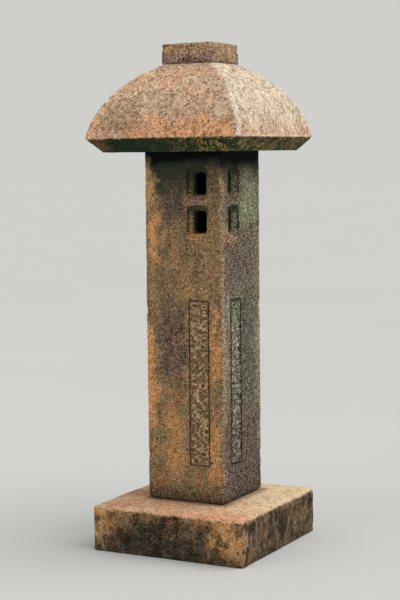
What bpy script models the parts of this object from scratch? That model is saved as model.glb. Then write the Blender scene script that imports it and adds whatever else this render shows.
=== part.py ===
"""A square garden lantern of cast stone: plinth, hollow column, domed roof and finial, with its lamp kit.

Units are metres and +Z is up. The origin is the centre of the plinth's underside. The front face looks along
-Y and the right face along +X. The column is bedded on the plinth, the roof and the finial are stacked dry on
it, and the lamp kit stands on a shelf inside it. The roof, finial, shelf and lamp each lift straight up, so
each hangs under an empty that stands on the lantern's upright axis, at that piece's own seat.
"""

import math

import bmesh
import bpy
from mathutils import Matrix

GAP = 0.0003  # between pieces that touch

# Plinth: a square slab whose top falls away from the column's seat to a worn arris
PLINTH_HALF = 0.1516
PLINTH_SEAT_HALF = 0.0840
PLINTH_SEAT_Z = 0.0880
PLINTH_WASH_DROP = 0.0050
PLINTH_ARRIS_RADIUS = 0.0070
PLINTH_CORNER_RADIUS = 0.0050
PLINTH_FOOT_CHAMFER = 0.0025

# Column: a square tube with a ledge inside for the lamp shelf
COLUMN_HALF = 0.0770
COLUMN_ARRIS_RADIUS = 0.0030
BED_THICKNESS = 0.0030
COLUMN_FOOT_Z = PLINTH_SEAT_Z + BED_THICKNESS
LOWER_BORE_HALF = 0.0430
UPPER_BORE_HALF = 0.0530
BORE_CORNER_RADIUS = 0.0080
LEDGE_Z = 0.4880
BED_HALF = 0.0730
BED_OPENING_HALF = 0.0460

# Windows: a scooped recess around a hole, two on each of two faces, one above the other
WINDOW_HALF_WIDTH = 0.0225
WINDOW_HALF_HEIGHT = 0.0300
WINDOW_CORNER_RADIUS = 0.0130
WINDOW_LIP_DEPTH = 0.0025
WINDOW_SCOOP_DEPTH = 0.0120
HOLE_HALF_WIDTH = 0.0122
HOLE_HALF_HEIGHT = 0.0195
HOLE_CORNER_RADIUS = 0.0080
WINDOW_HEIGHTS = (0.5948, 0.6632)

# Panels: a plain upright rectangle with a groove around it, under each pair of windows
PANEL_HALF_WIDTH = 0.0178
PANEL_HALF_HEIGHT = 0.1470
PANEL_Z = 0.3055
GROOVE_WIDTH = 0.0032
GROOVE_DEPTH = 0.0030

# Each pierced face: its turn about the upright axis, then how far the windows and the panel stand off centre
FACES = (
    ("front", 0.0, 0.0315, 0.0305),
    ("right", 90.0, -0.0255, -0.0225),
)

# Roof: four convex faces over a chamfered underside, with a socket that drops over the column's head
ROOF_UNDERSIDE_Z = 0.7200
ROOF_UNDERSIDE_HALF = 0.1305
EAVE_HALF = 0.1530
EAVE_Z = 0.7445
EAVE_ROUNDING = 0.0015
SHOULDER_HALF = 0.1385
SHOULDER_Z = 0.8300
CROWN_HALF = 0.0535
CROWN_Z = 0.8755
HIP_RADIUS_EAVE = 0.0035
HIP_RADIUS_CROWN = 0.0130
ROOF_RINGS = 12
SOCKET_HALF = 0.0790
SOCKET_DEPTH = 0.0100
CAVITY_HALF_TOP = 0.0440
CAVITY_DEPTH = 0.0800
MORTISE_RADIUS = 0.0260
MORTISE_DEPTH = 0.0280

# Setting pads between the column's head and the roof
PAD_HALF = 0.0070
PAD_CORNER_RADIUS = 0.0010
PAD_THICKNESS = 0.0024
PAD_OFFSET = 0.0635
COLUMN_HEAD_Z = ROOF_UNDERSIDE_Z + SOCKET_DEPTH - PAD_THICKNESS - 2 * GAP

# Finial: a square block with a round tenon
FINIAL_HALF = 0.0515
FINIAL_HEIGHT = 0.0364
FINIAL_ARRIS_RADIUS = 0.0025
TENON_RADIUS = 0.0250
TENON_LENGTH = 0.0200

# Dowels between the plinth and the column, on one diagonal
DOWEL_RADIUS = 0.0040
DOWEL_HOLE_RADIUS = 0.0045
DOWEL_OFFSET = 0.0590
DOWEL_DEPTH = 0.0280
DOWEL_HOLE_DEPTH = 0.0300

# Cable sleeve up through the plinth
SLEEVE_OUTER_RADIUS = 0.0160
SLEEVE_INNER_RADIUS = 0.0130
SLEEVE_BOTTOM_Z = 0.0010
SLEEVE_TOP_Z = 0.1020
SLEEVE_HOLE_RADIUS = 0.0165

# Lamp shelf
SHELF_HALF = 0.0515
SHELF_THICKNESS = 0.0020
SHELF_CORNER_RADIUS = 0.0095
SHELF_Z = LEDGE_Z + GAP
FINGER_SLOT_HALF_LENGTH = 0.0150
FINGER_SLOT_HALF_WIDTH = 0.0055
FINGER_SLOT_CORNER_RADIUS = 0.0050
FINGER_SLOT_OFFSET = 0.0370

# Lampholder: a ceramic block with a turret, screwed to the shelf
HOLDER_HALF_WIDTH = 0.0100
HOLDER_HALF_LENGTH = 0.0220
HOLDER_FOOT_HEIGHT = 0.0080
TURRET_RADIUS = 0.0090
TURRET_TOP = 0.0260
HOLDER_EDGE_RADIUS = 0.0006
HOLDER_Z = SHELF_Z + SHELF_THICKNESS + GAP
SCREW_OFFSET = 0.0165
SCREW_HOLE_RADIUS = 0.0024
SCREW_RADIUS = 0.0020
SCREW_HEAD_RADIUS = 0.0040
SCREW_HEAD_HEIGHT = 0.0026
SCREW_CROWN_RADIUS = 0.0024
SCREW_RIM_HEIGHT = 0.0013
SCREW_LENGTH = 0.0170
NUT_ACROSS_FLATS = 0.0070
NUT_HEIGHT = 0.0032
NUT_BORE_RADIUS = 0.0023

# Lamp: a two-pin capsule that pushes into brass contacts
PIN_SPACING = 0.00635
PIN_RADIUS = 0.0005
PIN_REACH = 0.0075
PIN_HELD = 0.0035
PIN_SEAT_RADIUS = 0.0008
CONTACT_RADIUS = 0.0017
CONTACT_BORE_RADIUS = 0.0008
CONTACT_LENGTH = 0.0080
CONTACT_HOLE_RADIUS = 0.0020
CONTACT_HOLE_DEPTH = 0.0090
PINCH_HALF_WIDTH = 0.0048
PINCH_HALF_DEPTH = 0.0023
PINCH_HEIGHT = 0.0100
PINCH_CORNER_RADIUS = 0.0010
CAPSULE_RADIUS = 0.0065
CAPSULE_NECK_RADIUS = 0.0023
CAPSULE_NECK = 0.0080
CAPSULE_SHOULDER = 0.0140
CAPSULE_TOP = 0.0385

# Cable gland through the shelf, for a cable of up to 8 mm
GLAND_X = -0.0260
GLAND_BARREL_RADIUS = 0.0078
GLAND_BORE_RADIUS = 0.0045
GLAND_HOLE_RADIUS = 0.0081
GLAND_ACROSS_FLATS = 0.0220
GLAND_COLLAR_HEIGHT = 0.0080
GLAND_BARREL_BELOW = 0.0200
GLAND_BARREL_ABOVE = 0.0100
GLAND_NUT_HEIGHT = 0.0050
GLAND_CAP_RADIUS = 0.0115
GLAND_CAP_BORE_RADIUS = 0.0082
GLAND_CAP_NOSE_RADIUS = 0.0080
GLAND_CAP_BOTTOM = 0.0260
GLAND_CAP_FLOOR = 0.0210
GLAND_CAP_TOP = 0.0085
GLAND_SEAL_RADIUS = 0.0042
GLAND_SEAL_BORE_RADIUS = 0.0028
GLAND_SEAL_BOTTOM = 0.0190
GLAND_SEAL_TOP = 0.0100

ROUND_STEPS = 32
SMALL_STEPS = 16
PIN_STEPS = 12
ARC_STEPS = 4  # over a quarter turn of a rounded section
SHARP_ANGLE = 40.0  # degrees: an edge that turns more is sharp
CUT_PAST = 0.0050  # how far a cutter runs past the face that it opens


def clear_scene():
    """Removes whatever the file holds, so that the model stands alone."""
    for old in list(bpy.data.objects):
        bpy.data.objects.remove(old)


def add_collection(name):
    made = bpy.data.collections.new(name)
    bpy.context.scene.collection.children.link(made)
    return made


def add_material(name, colour, roughness, metallic=0.0):
    made = bpy.data.materials.new(name)
    made.use_nodes = True
    shader = made.node_tree.nodes["Principled BSDF"]
    shader.inputs["Base Color"].default_value = (*colour, 1.0)
    shader.inputs["Roughness"].default_value = roughness
    shader.inputs["Metallic"].default_value = metallic
    return made


def mesh_of(shape):
    """Turns a bmesh into a mesh, with its faces pointing out."""
    bmesh.ops.recalc_face_normals(shape, faces=shape.faces)
    made = bpy.data.meshes.new("shape")
    shape.to_mesh(made)
    shape.free()
    return made


def block(half_x, half_y, low, high, radius=0.0, segments=4):
    """An upright block from z low to z high, whose four upright edges may be round."""
    shape = bmesh.new()
    size = Matrix.Diagonal((2 * half_x, 2 * half_y, high - low, 1.0))
    place = Matrix.Translation((0.0, 0.0, (low + high) / 2))
    bmesh.ops.create_cube(shape, size=1.0, matrix=place @ size)
    if radius:
        upright = [e for e in shape.edges if abs(e.verts[0].co.z - e.verts[1].co.z) > GAP]
        bmesh.ops.bevel(
            shape, geom=upright, offset=radius, segments=segments, profile=0.5, affect="EDGES"
        )
    return mesh_of(shape)


def rod(radius, low, high, steps=ROUND_STEPS, x=0.0, y=0.0):
    """An upright cylinder from z low to z high; six steps make it a hexagon."""
    shape = bmesh.new()
    bmesh.ops.create_cone(
        shape,
        cap_ends=True,
        segments=steps,
        radius1=radius,
        radius2=radius,
        depth=high - low,
        matrix=Matrix.Translation((x, y, (low + high) / 2)),
    )
    return mesh_of(shape)


def hexagon(across_flats, low, high):
    return rod(across_flats / math.sqrt(3), low, high, steps=6)


def rounded_rectangle(half_x, half_y, radius, arc_steps=5):
    """Points of a rectangle with round corners, anticlockwise from its +X side."""
    points = []
    for corner, (sign_x, sign_y) in enumerate(((1, 1), (-1, 1), (-1, -1), (1, -1))):
        for step in range(arc_steps + 1):
            angle = math.radians(90 * (corner + step / arc_steps))
            x = sign_x * (half_x - radius) + radius * math.cos(angle)
            y = sign_y * (half_y - radius) + radius * math.sin(angle)
            points.append((x, y))
    return points


def loft(sections):
    """A closed skin through level rounded rectangles, each (half_x, half_y, radius, z), lowest first."""
    shape = bmesh.new()
    rings = []
    for half_x, half_y, radius, z in sections:
        outline = rounded_rectangle(half_x, half_y, radius)
        rings.append([shape.verts.new((x, y, z)) for x, y in outline])
    for low, high in zip(rings, rings[1:]):
        for here in range(len(low)):
            after = (here + 1) % len(low)
            shape.faces.new((low[here], low[after], high[after], high[here]))
    shape.faces.new(rings[0])
    shape.faces.new(rings[-1])
    return mesh_of(shape)


def place(name, mesh, collection, material, parent=None, at=(0.0, 0.0, 0.0)):
    """Names the mesh and its object, and puts the object at a point of its parent's space."""
    mesh.name = name
    made = bpy.data.objects.new(name, mesh)
    collection.objects.link(made)
    made.parent = parent
    made.location = at
    if material:
        mesh.materials.append(material)
    return made


def seat(name, z, parent=None):
    """An empty on the lantern's upright axis, which a piece that lifts hangs under."""
    made = bpy.data.objects.new(name, None)
    model.objects.link(made)
    made.parent = parent
    made.location = (0.0, 0.0, z)
    return made


def helper(name, mesh, owner, turn=None):
    """A hidden shape in its owner's space, for a Boolean."""
    made = place(name, mesh, cutters, None, parent=owner)
    if turn:
        made.matrix_local = turn
    made.hide_render = True
    made.display_type = "WIRE"
    return made


def combine(owner, other, operation):
    made = owner.modifiers.new(operation.lower() + "_" + other.name, "BOOLEAN")
    made.operation = operation
    made.solver = "EXACT"
    made.object = other


def cut(owner, *shapes):
    for shape in shapes:
        combine(owner, shape, "DIFFERENCE")


def soften(owner, width, segments=3):
    """Rounds every sharp edge."""
    made = owner.modifiers.new("arris", "BEVEL")
    made.limit_method = "ANGLE"
    made.angle_limit = math.radians(SHARP_ANGLE)
    made.width = width
    made.segments = segments


def turn_profile(name, outline, material, parent, at, closed=False, steps=SMALL_STEPS):
    """A turned piece. The outline is (radius, z) points down its outer side, and closed makes it a ring."""
    mesh = bpy.data.meshes.new(name)
    edges = [(i, i + 1) for i in range(len(outline) - 1)]
    if closed:
        edges.append((len(outline) - 1, 0))
    mesh.from_pydata([(radius, 0.0, z) for radius, z in outline], edges, [])
    made = place(name, mesh, model, material, parent, at)
    screw = made.modifiers.new("turn", "SCREW")
    screw.steps = steps
    screw.render_steps = steps
    screw.use_merge_vertices = True
    screw.merge_threshold = 0.00001
    return made


def smooth(owner):
    owner.data.shade_smooth()
    owner.data.set_sharp_from_angle(angle=math.radians(SHARP_ANGLE))


def build_plinth(stone):
    sections = [
        (PLINTH_HALF - PLINTH_FOOT_CHAMFER, 0.0),
        (PLINTH_HALF, PLINTH_FOOT_CHAMFER),
    ]
    arris_top = PLINTH_SEAT_Z - PLINTH_WASH_DROP
    for step in range(ARC_STEPS + 1):
        angle = math.radians(90 * step / ARC_STEPS)
        inset = PLINTH_ARRIS_RADIUS * (1 - math.cos(angle))
        z = arris_top - PLINTH_ARRIS_RADIUS * (1 - math.sin(angle))
        sections.append((PLINTH_HALF - inset, z))
    sections.append((PLINTH_SEAT_HALF, PLINTH_SEAT_Z))
    slab = loft([(half, half, PLINTH_CORNER_RADIUS, z) for half, z in sections])
    plinth = place("plinth", slab, model, stone)
    through = rod(SLEEVE_HOLE_RADIUS, -CUT_PAST, PLINTH_SEAT_Z + CUT_PAST)
    cut(plinth, helper("plinth_cable_hole", through, plinth))
    for number, (x, y) in enumerate(dowel_places(), start=1):
        hole = rod(
            DOWEL_HOLE_RADIUS, PLINTH_SEAT_Z - DOWEL_HOLE_DEPTH, PLINTH_SEAT_Z + CUT_PAST,
            SMALL_STEPS, x, y,
        )
        cut(plinth, helper(f"plinth_dowel_hole_{number}", hole, plinth))
    return plinth


def dowel_places():
    return ((-DOWEL_OFFSET, -DOWEL_OFFSET), (DOWEL_OFFSET, DOWEL_OFFSET))


def build_joint_at_foot(mortar, steel):
    """The mortar bed, and the dowels that pass through it."""
    bed = place(
        "column_bedding",
        block(BED_HALF, BED_HALF, GAP, BED_THICKNESS - GAP),
        model,
        mortar,
        at=(0.0, 0.0, PLINTH_SEAT_Z),
    )
    opening = block(BED_OPENING_HALF, BED_OPENING_HALF, -CUT_PAST, CUT_PAST, BORE_CORNER_RADIUS)
    cut(bed, helper("bedding_opening", opening, bed))
    for number, (x, y) in enumerate(dowel_places(), start=1):
        hole = rod(DOWEL_HOLE_RADIUS, -CUT_PAST, CUT_PAST, SMALL_STEPS, x, y)
        cut(bed, helper(f"bedding_dowel_hole_{number}", hole, bed))
        dowel = rod(DOWEL_RADIUS, -DOWEL_DEPTH, BED_THICKNESS + DOWEL_DEPTH, SMALL_STEPS)
        pin = place(f"column_dowel_{number}", dowel, model, steel, at=(x, y, PLINTH_SEAT_Z))
        smooth(pin)


def face_matrix(turn, offset, z):
    """Stands a shape that is drawn lying flat on a face of the column, its +Z pointing into the stone."""
    upright = Matrix.Rotation(math.radians(-90), 4, "X")
    on_front = Matrix.Translation((offset, -COLUMN_HALF, z))
    return Matrix.Rotation(math.radians(turn), 4, "Z") @ on_front @ upright


def window_shape():
    """The scoop and the hole of one window: a straight lip, a hollow curve, and a straight way through."""
    sections = [
        (WINDOW_HALF_WIDTH, WINDOW_HALF_HEIGHT, WINDOW_CORNER_RADIUS, -CUT_PAST),
        (WINDOW_HALF_WIDTH, WINDOW_HALF_HEIGHT, WINDOW_CORNER_RADIUS, WINDOW_LIP_DEPTH),
    ]
    for step in range(1, ARC_STEPS + 1):
        share = step / ARC_STEPS
        inward = math.sin(math.radians(90 * share))
        depth = WINDOW_LIP_DEPTH + (WINDOW_SCOOP_DEPTH - WINDOW_LIP_DEPTH) * share
        sections.append(
            (
                WINDOW_HALF_WIDTH + (HOLE_HALF_WIDTH - WINDOW_HALF_WIDTH) * inward,
                WINDOW_HALF_HEIGHT + (HOLE_HALF_HEIGHT - WINDOW_HALF_HEIGHT) * inward,
                WINDOW_CORNER_RADIUS + (HOLE_CORNER_RADIUS - WINDOW_CORNER_RADIUS) * inward,
                depth,
            )
        )
    wall = COLUMN_HALF - UPPER_BORE_HALF
    sections.append((HOLE_HALF_WIDTH, HOLE_HALF_HEIGHT, HOLE_CORNER_RADIUS, wall + CUT_PAST))
    return loft(sections)


def cut_panel_groove(column, face, turn, offset):
    """A groove around a field that is left standing."""
    where = face_matrix(turn, offset, PANEL_Z - COLUMN_FOOT_Z)
    outer = block(
        PANEL_HALF_WIDTH + GROOVE_WIDTH, PANEL_HALF_HEIGHT + GROOVE_WIDTH, -CUT_PAST, GROOVE_DEPTH
    )
    groove = helper(f"{face}_panel_groove", outer, column, where)
    inner = block(PANEL_HALF_WIDTH, PANEL_HALF_HEIGHT, -2 * CUT_PAST, 2 * CUT_PAST)
    cut(groove, helper(f"{face}_panel_field", inner, column, where))
    cut(column, groove)


def build_column(stone):
    height = COLUMN_HEAD_Z - COLUMN_FOOT_Z
    ledge = LEDGE_Z - COLUMN_FOOT_Z
    column = place(
        "column", block(COLUMN_HALF, COLUMN_HALF, 0.0, height), model, stone, at=(0.0, 0.0, COLUMN_FOOT_Z)
    )
    soften(column, COLUMN_ARRIS_RADIUS)
    lower = block(LOWER_BORE_HALF, LOWER_BORE_HALF, -CUT_PAST, ledge + CUT_PAST, BORE_CORNER_RADIUS)
    upper = block(UPPER_BORE_HALF, UPPER_BORE_HALF, ledge, height + CUT_PAST, BORE_CORNER_RADIUS)
    cut(column, helper("column_lower_bore", lower, column), helper("column_upper_bore", upper, column))
    for face, turn, window_offset, panel_offset in FACES:
        for number, z in enumerate(WINDOW_HEIGHTS, start=1):
            where = face_matrix(turn, window_offset, z - COLUMN_FOOT_Z)
            cut(column, helper(f"{face}_window_{number}", window_shape(), column, where))
        cut_panel_groove(column, face, turn, panel_offset)
    for number, (x, y) in enumerate(dowel_places(), start=1):
        hole = rod(DOWEL_HOLE_RADIUS, -CUT_PAST, DOWEL_HOLE_DEPTH, SMALL_STEPS, x, y)
        cut(column, helper(f"column_dowel_hole_{number}", hole, column))


def roof_sections():
    """The underside's chamfer, the eave, then a curve from the eave past the shoulder to the crown."""
    radius = HIP_RADIUS_EAVE
    eave = EAVE_Z - ROOF_UNDERSIDE_Z
    sections = [
        (ROOF_UNDERSIDE_HALF, radius, 0.0),
        (EAVE_HALF - EAVE_ROUNDING, radius, eave - EAVE_ROUNDING),
    ]
    for ring in range(ROOF_RINGS + 1):
        t = ring / ROOF_RINGS
        start, middle, end = (1 - t) ** 2, 2 * t * (1 - t), t**2
        half = start * EAVE_HALF + middle * SHOULDER_HALF + end * CROWN_HALF
        z = start * EAVE_Z + middle * SHOULDER_Z + end * CROWN_Z
        radius = HIP_RADIUS_EAVE + (HIP_RADIUS_CROWN - HIP_RADIUS_EAVE) * t
        sections.append((half, radius, z - ROOF_UNDERSIDE_Z))
    return [(half, half, radius, z) for half, radius, z in sections]


def build_roof(stone, axis):
    roof = place("roof", loft(roof_sections()), model, stone, axis)
    socket = block(SOCKET_HALF, SOCKET_HALF, -CUT_PAST, SOCKET_DEPTH, BORE_CORNER_RADIUS)
    cavity = loft(
        [
            (UPPER_BORE_HALF, UPPER_BORE_HALF, BORE_CORNER_RADIUS, 0.0),
            (UPPER_BORE_HALF, UPPER_BORE_HALF, BORE_CORNER_RADIUS, SOCKET_DEPTH + CUT_PAST),
            (CAVITY_HALF_TOP, CAVITY_HALF_TOP, BORE_CORNER_RADIUS, CAVITY_DEPTH),
        ]
    )
    crown = CROWN_Z - ROOF_UNDERSIDE_Z
    mortise = rod(MORTISE_RADIUS, crown - MORTISE_DEPTH, crown + CUT_PAST)
    cut(
        roof,
        helper("roof_socket", socket, roof),
        helper("roof_cavity", cavity, roof),
        helper("roof_mortise", mortise, roof),
    )


def build_finial(stone, axis):
    finial = place("finial", block(FINIAL_HALF, FINIAL_HALF, 0.0, FINIAL_HEIGHT), model, stone, axis)
    soften(finial, FINIAL_ARRIS_RADIUS)
    tenon = rod(TENON_RADIUS, -TENON_LENGTH, FINIAL_HEIGHT / 2)
    combine(finial, helper("finial_tenon", tenon, finial), "UNION")


def build_roof_pads(neoprene):
    corners = ((1, 1), (-1, 1), (-1, -1), (1, -1))
    for number, (sign_x, sign_y) in enumerate(corners, start=1):
        place(
            f"roof_pad_{number}",
            block(PAD_HALF, PAD_HALF, 0.0, PAD_THICKNESS, PAD_CORNER_RADIUS, segments=2),
            model,
            neoprene,
            at=(sign_x * PAD_OFFSET, sign_y * PAD_OFFSET, COLUMN_HEAD_Z + GAP),
        )


def build_cable_sleeve(plastic):
    outline = [
        (SLEEVE_OUTER_RADIUS, SLEEVE_TOP_Z),
        (SLEEVE_OUTER_RADIUS, SLEEVE_BOTTOM_Z),
        (SLEEVE_INNER_RADIUS, SLEEVE_BOTTOM_Z),
        (SLEEVE_INNER_RADIUS, SLEEVE_TOP_Z),
    ]
    turn_profile(
        "cable_sleeve", outline, plastic, None, (0.0, 0.0, 0.0), closed=True, steps=ROUND_STEPS
    )


def build_shelf(steel, axis):
    shelf = place(
        "lamp_shelf",
        block(SHELF_HALF, SHELF_HALF, 0.0, SHELF_THICKNESS, SHELF_CORNER_RADIUS),
        model,
        steel,
        axis,
    )
    gland_hole = rod(GLAND_HOLE_RADIUS, -CUT_PAST, CUT_PAST, ROUND_STEPS, GLAND_X)
    cut(shelf, helper("shelf_gland_hole", gland_hole, shelf))
    for number, side in enumerate((-1, 1), start=1):
        slot = block(
            FINGER_SLOT_HALF_LENGTH, FINGER_SLOT_HALF_WIDTH, -CUT_PAST, CUT_PAST,
            FINGER_SLOT_CORNER_RADIUS,
        )
        where = Matrix.Translation((0.0, side * FINGER_SLOT_OFFSET, 0.0))
        hole = rod(SCREW_HOLE_RADIUS, -CUT_PAST, CUT_PAST, SMALL_STEPS, 0.0, side * SCREW_OFFSET)
        cut(
            shelf,
            helper(f"shelf_finger_slot_{number}", slot, shelf, where),
            helper(f"shelf_screw_hole_{number}", hole, shelf),
        )


def build_lampholder(ceramic, brass, zinc, axis):
    """The ceramic block, its contacts, and the screws and nuts that hold it to the shelf."""
    floor = HOLDER_Z - SHELF_Z
    holder = place(
        "lampholder",
        block(HOLDER_HALF_WIDTH, HOLDER_HALF_LENGTH, 0.0, HOLDER_FOOT_HEIGHT),
        model,
        ceramic,
        axis,
        (0.0, 0.0, floor),
    )
    turret = rod(TURRET_RADIUS, HOLDER_FOOT_HEIGHT / 2, TURRET_TOP)
    combine(holder, helper("holder_turret", turret, holder), "UNION")
    soften(holder, HOLDER_EDGE_RADIUS, segments=2)
    contact_top = TURRET_TOP - 2 * GAP
    outline = [
        (CONTACT_RADIUS, contact_top),
        (CONTACT_RADIUS, contact_top - CONTACT_LENGTH),
        (CONTACT_BORE_RADIUS, contact_top - CONTACT_LENGTH),
        (CONTACT_BORE_RADIUS, contact_top),
    ]
    for number, side in enumerate((-1, 1), start=1):
        y = side * PIN_SPACING / 2
        well = rod(
            CONTACT_HOLE_RADIUS, TURRET_TOP - CONTACT_HOLE_DEPTH, TURRET_TOP + CUT_PAST, SMALL_STEPS, 0.0, y
        )
        hole = rod(
            SCREW_HOLE_RADIUS, -CUT_PAST, HOLDER_FOOT_HEIGHT + CUT_PAST, SMALL_STEPS, 0.0, side * SCREW_OFFSET
        )
        cut(
            holder,
            helper(f"holder_contact_well_{number}", well, holder),
            helper(f"holder_screw_hole_{number}", hole, holder),
        )
        turn_profile(f"lamp_contact_{number}", outline, brass, axis, (0.0, y, floor), closed=True)
        build_holder_fixing(number, side * SCREW_OFFSET, floor + HOLDER_FOOT_HEIGHT, zinc, axis)


def build_holder_fixing(number, y, top, zinc, axis):
    """One screw down through the lampholder and the shelf, and the nut under the shelf."""
    outline = [
        (0.0, SCREW_HEAD_HEIGHT),
        (SCREW_CROWN_RADIUS, SCREW_HEAD_HEIGHT),
        (SCREW_HEAD_RADIUS, SCREW_RIM_HEIGHT),
        (SCREW_HEAD_RADIUS, 0.0),
        (SCREW_RADIUS, 0.0),
        (SCREW_RADIUS, -SCREW_LENGTH),
        (0.0, -SCREW_LENGTH),
    ]
    turn_profile(f"lampholder_screw_{number}", outline, zinc, axis, (0.0, y, top + GAP))
    nut = place(
        f"lampholder_nut_{number}",
        hexagon(NUT_ACROSS_FLATS, -NUT_HEIGHT - GAP, -GAP),
        model,
        zinc,
        axis,
        (0.0, y, 0.0),
    )
    bore = rod(NUT_BORE_RADIUS, -CUT_PAST, CUT_PAST, SMALL_STEPS)
    cut(nut, helper(f"holder_nut_bore_{number}", bore, nut))


def build_lamp(glass, metal, axis):
    """The capsule stands on the lampholder's turret, and its pins reach down into the contacts."""
    arc = []
    height = CAPSULE_TOP - CAPSULE_RADIUS
    for step in range(ARC_STEPS + 1):
        angle = math.radians(90 * step / ARC_STEPS)
        arc.append((CAPSULE_RADIUS * math.sin(angle), height + CAPSULE_RADIUS * math.cos(angle)))
    outline = arc + [
        (CAPSULE_RADIUS, CAPSULE_SHOULDER),
        (CAPSULE_NECK_RADIUS, CAPSULE_NECK),
        (0.0, CAPSULE_NECK),
    ]
    capsule = turn_profile("lamp_glass", outline, glass, axis, (0.0, 0.0, 0.0))
    pinch = block(PINCH_HALF_DEPTH, PINCH_HALF_WIDTH, 0.0, PINCH_HEIGHT, PINCH_CORNER_RADIUS, segments=2)
    combine(capsule, helper("lamp_pinch", pinch, capsule), "UNION")
    for number, side in enumerate((-1, 1), start=1):
        y = side * PIN_SPACING / 2
        hole = rod(PIN_SEAT_RADIUS, -CUT_PAST, PIN_HELD + GAP, PIN_STEPS, 0.0, y)
        cut(capsule, helper(f"lamp_pin_seat_{number}", hole, capsule))
        wire = rod(PIN_RADIUS, -PIN_REACH, PIN_HELD, PIN_STEPS)
        pin = place(f"lamp_pin_{number}", wire, model, metal, axis, (0.0, y, 0.0))
        smooth(pin)


def build_gland(plastic, rubber, axis):
    """The gland's collar and dome cap hang under the shelf, and its locknut is on top."""
    under = (GLAND_X, 0.0, -GAP)
    collar = hexagon(GLAND_ACROSS_FLATS, -GLAND_COLLAR_HEIGHT, 0.0)
    body = place("gland_body", collar, model, plastic, axis, under)
    barrel = rod(GLAND_BARREL_RADIUS, -GLAND_BARREL_BELOW, GLAND_BARREL_ABOVE)
    combine(body, helper("gland_barrel", barrel, body), "UNION")
    bore = rod(GLAND_BORE_RADIUS, -GLAND_BARREL_BELOW - CUT_PAST, GLAND_BARREL_ABOVE + CUT_PAST)
    cut(body, helper("gland_bore", bore, body))
    nut_low = SHELF_THICKNESS + 2 * GAP
    nut = place(
        "gland_locknut",
        hexagon(GLAND_ACROSS_FLATS, nut_low, nut_low + GLAND_NUT_HEIGHT),
        model,
        plastic,
        axis,
        under,
    )
    nut_bore = rod(GLAND_HOLE_RADIUS, nut_low - CUT_PAST, nut_low + GLAND_NUT_HEIGHT + CUT_PAST)
    cut(nut, helper("gland_nut_bore", nut_bore, nut))
    cap = [
        (GLAND_CAP_RADIUS, -GLAND_CAP_TOP),
        (GLAND_CAP_RADIUS, -GLAND_CAP_FLOOR),
        (GLAND_CAP_NOSE_RADIUS, -GLAND_CAP_BOTTOM),
        (GLAND_BORE_RADIUS, -GLAND_CAP_BOTTOM),
        (GLAND_BORE_RADIUS, -GLAND_CAP_FLOOR),
        (GLAND_CAP_BORE_RADIUS, -GLAND_CAP_FLOOR),
        (GLAND_CAP_BORE_RADIUS, -GLAND_CAP_TOP),
    ]
    turn_profile("gland_cap", cap, plastic, axis, under, closed=True, steps=ROUND_STEPS)
    seal = [
        (GLAND_SEAL_RADIUS, -GLAND_SEAL_TOP),
        (GLAND_SEAL_RADIUS, -GLAND_SEAL_BOTTOM),
        (GLAND_SEAL_BORE_RADIUS, -GLAND_SEAL_BOTTOM),
        (GLAND_SEAL_BORE_RADIUS, -GLAND_SEAL_TOP),
    ]
    turn_profile("gland_seal", seal, rubber, axis, under, closed=True)


def build_lantern():
    steel = add_material("stainless_steel", (0.55, 0.55, 0.56), 0.35, 1.0)
    zinc = add_material("zinc_plate", (0.62, 0.62, 0.60), 0.40, 1.0)
    brass = add_material("brass", (0.72, 0.55, 0.25), 0.35, 1.0)
    ceramic = add_material("white_ceramic", (0.82, 0.80, 0.75), 0.45)
    black = add_material("black_plastic", (0.03, 0.03, 0.03), 0.50)
    rubber = add_material("black_rubber", (0.02, 0.02, 0.02), 0.85)

    build_plinth(add_material("plinth_stone", (0.36, 0.22, 0.16), 0.92))
    build_joint_at_foot(add_material("mortar", (0.10, 0.07, 0.06), 0.95), steel)
    build_cable_sleeve(add_material("grey_plastic", (0.35, 0.36, 0.37), 0.50))
    build_column(add_material("column_stone", (0.24, 0.15, 0.10), 0.92))
    build_roof_pads(rubber)

    roof_axis = seat("roof_lift_axis", ROOF_UNDERSIDE_Z)
    build_roof(add_material("roof_stone", (0.42, 0.29, 0.20), 0.94), roof_axis)
    finial_axis = seat("finial_lift_axis", CROWN_Z + GAP - ROOF_UNDERSIDE_Z, roof_axis)
    build_finial(add_material("finial_stone", (0.28, 0.19, 0.14), 0.94), finial_axis)

    shelf_axis = seat("shelf_lift_axis", SHELF_Z)
    build_shelf(steel, shelf_axis)
    build_gland(black, rubber, shelf_axis)
    build_lampholder(ceramic, brass, zinc, shelf_axis)
    lamp_axis = seat("lamp_pull_axis", HOLDER_Z + TURRET_TOP + GAP - SHELF_Z, shelf_axis)
    build_lamp(add_material("clear_glass", (0.90, 0.92, 0.92), 0.05), zinc, lamp_axis)


clear_scene()
model = add_collection("stone_lantern")
cutters = add_collection("cutters")
build_lantern()
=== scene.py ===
"""The looks of the stone lantern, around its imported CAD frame.

Each stone is rebuilt as a fine skin of rings and then worn: bulges, tool marks, pits and chipped arrises all
move its vertices. The stones' colours come from node materials in object space, so they stay on the stone in
every pose. Lengths are in metres, apart from the stains' spans, which are in millimetres.
"""

import math
from functools import reduce

import bpy
import numpy as np
from mathutils import Matrix, Vector


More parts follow.
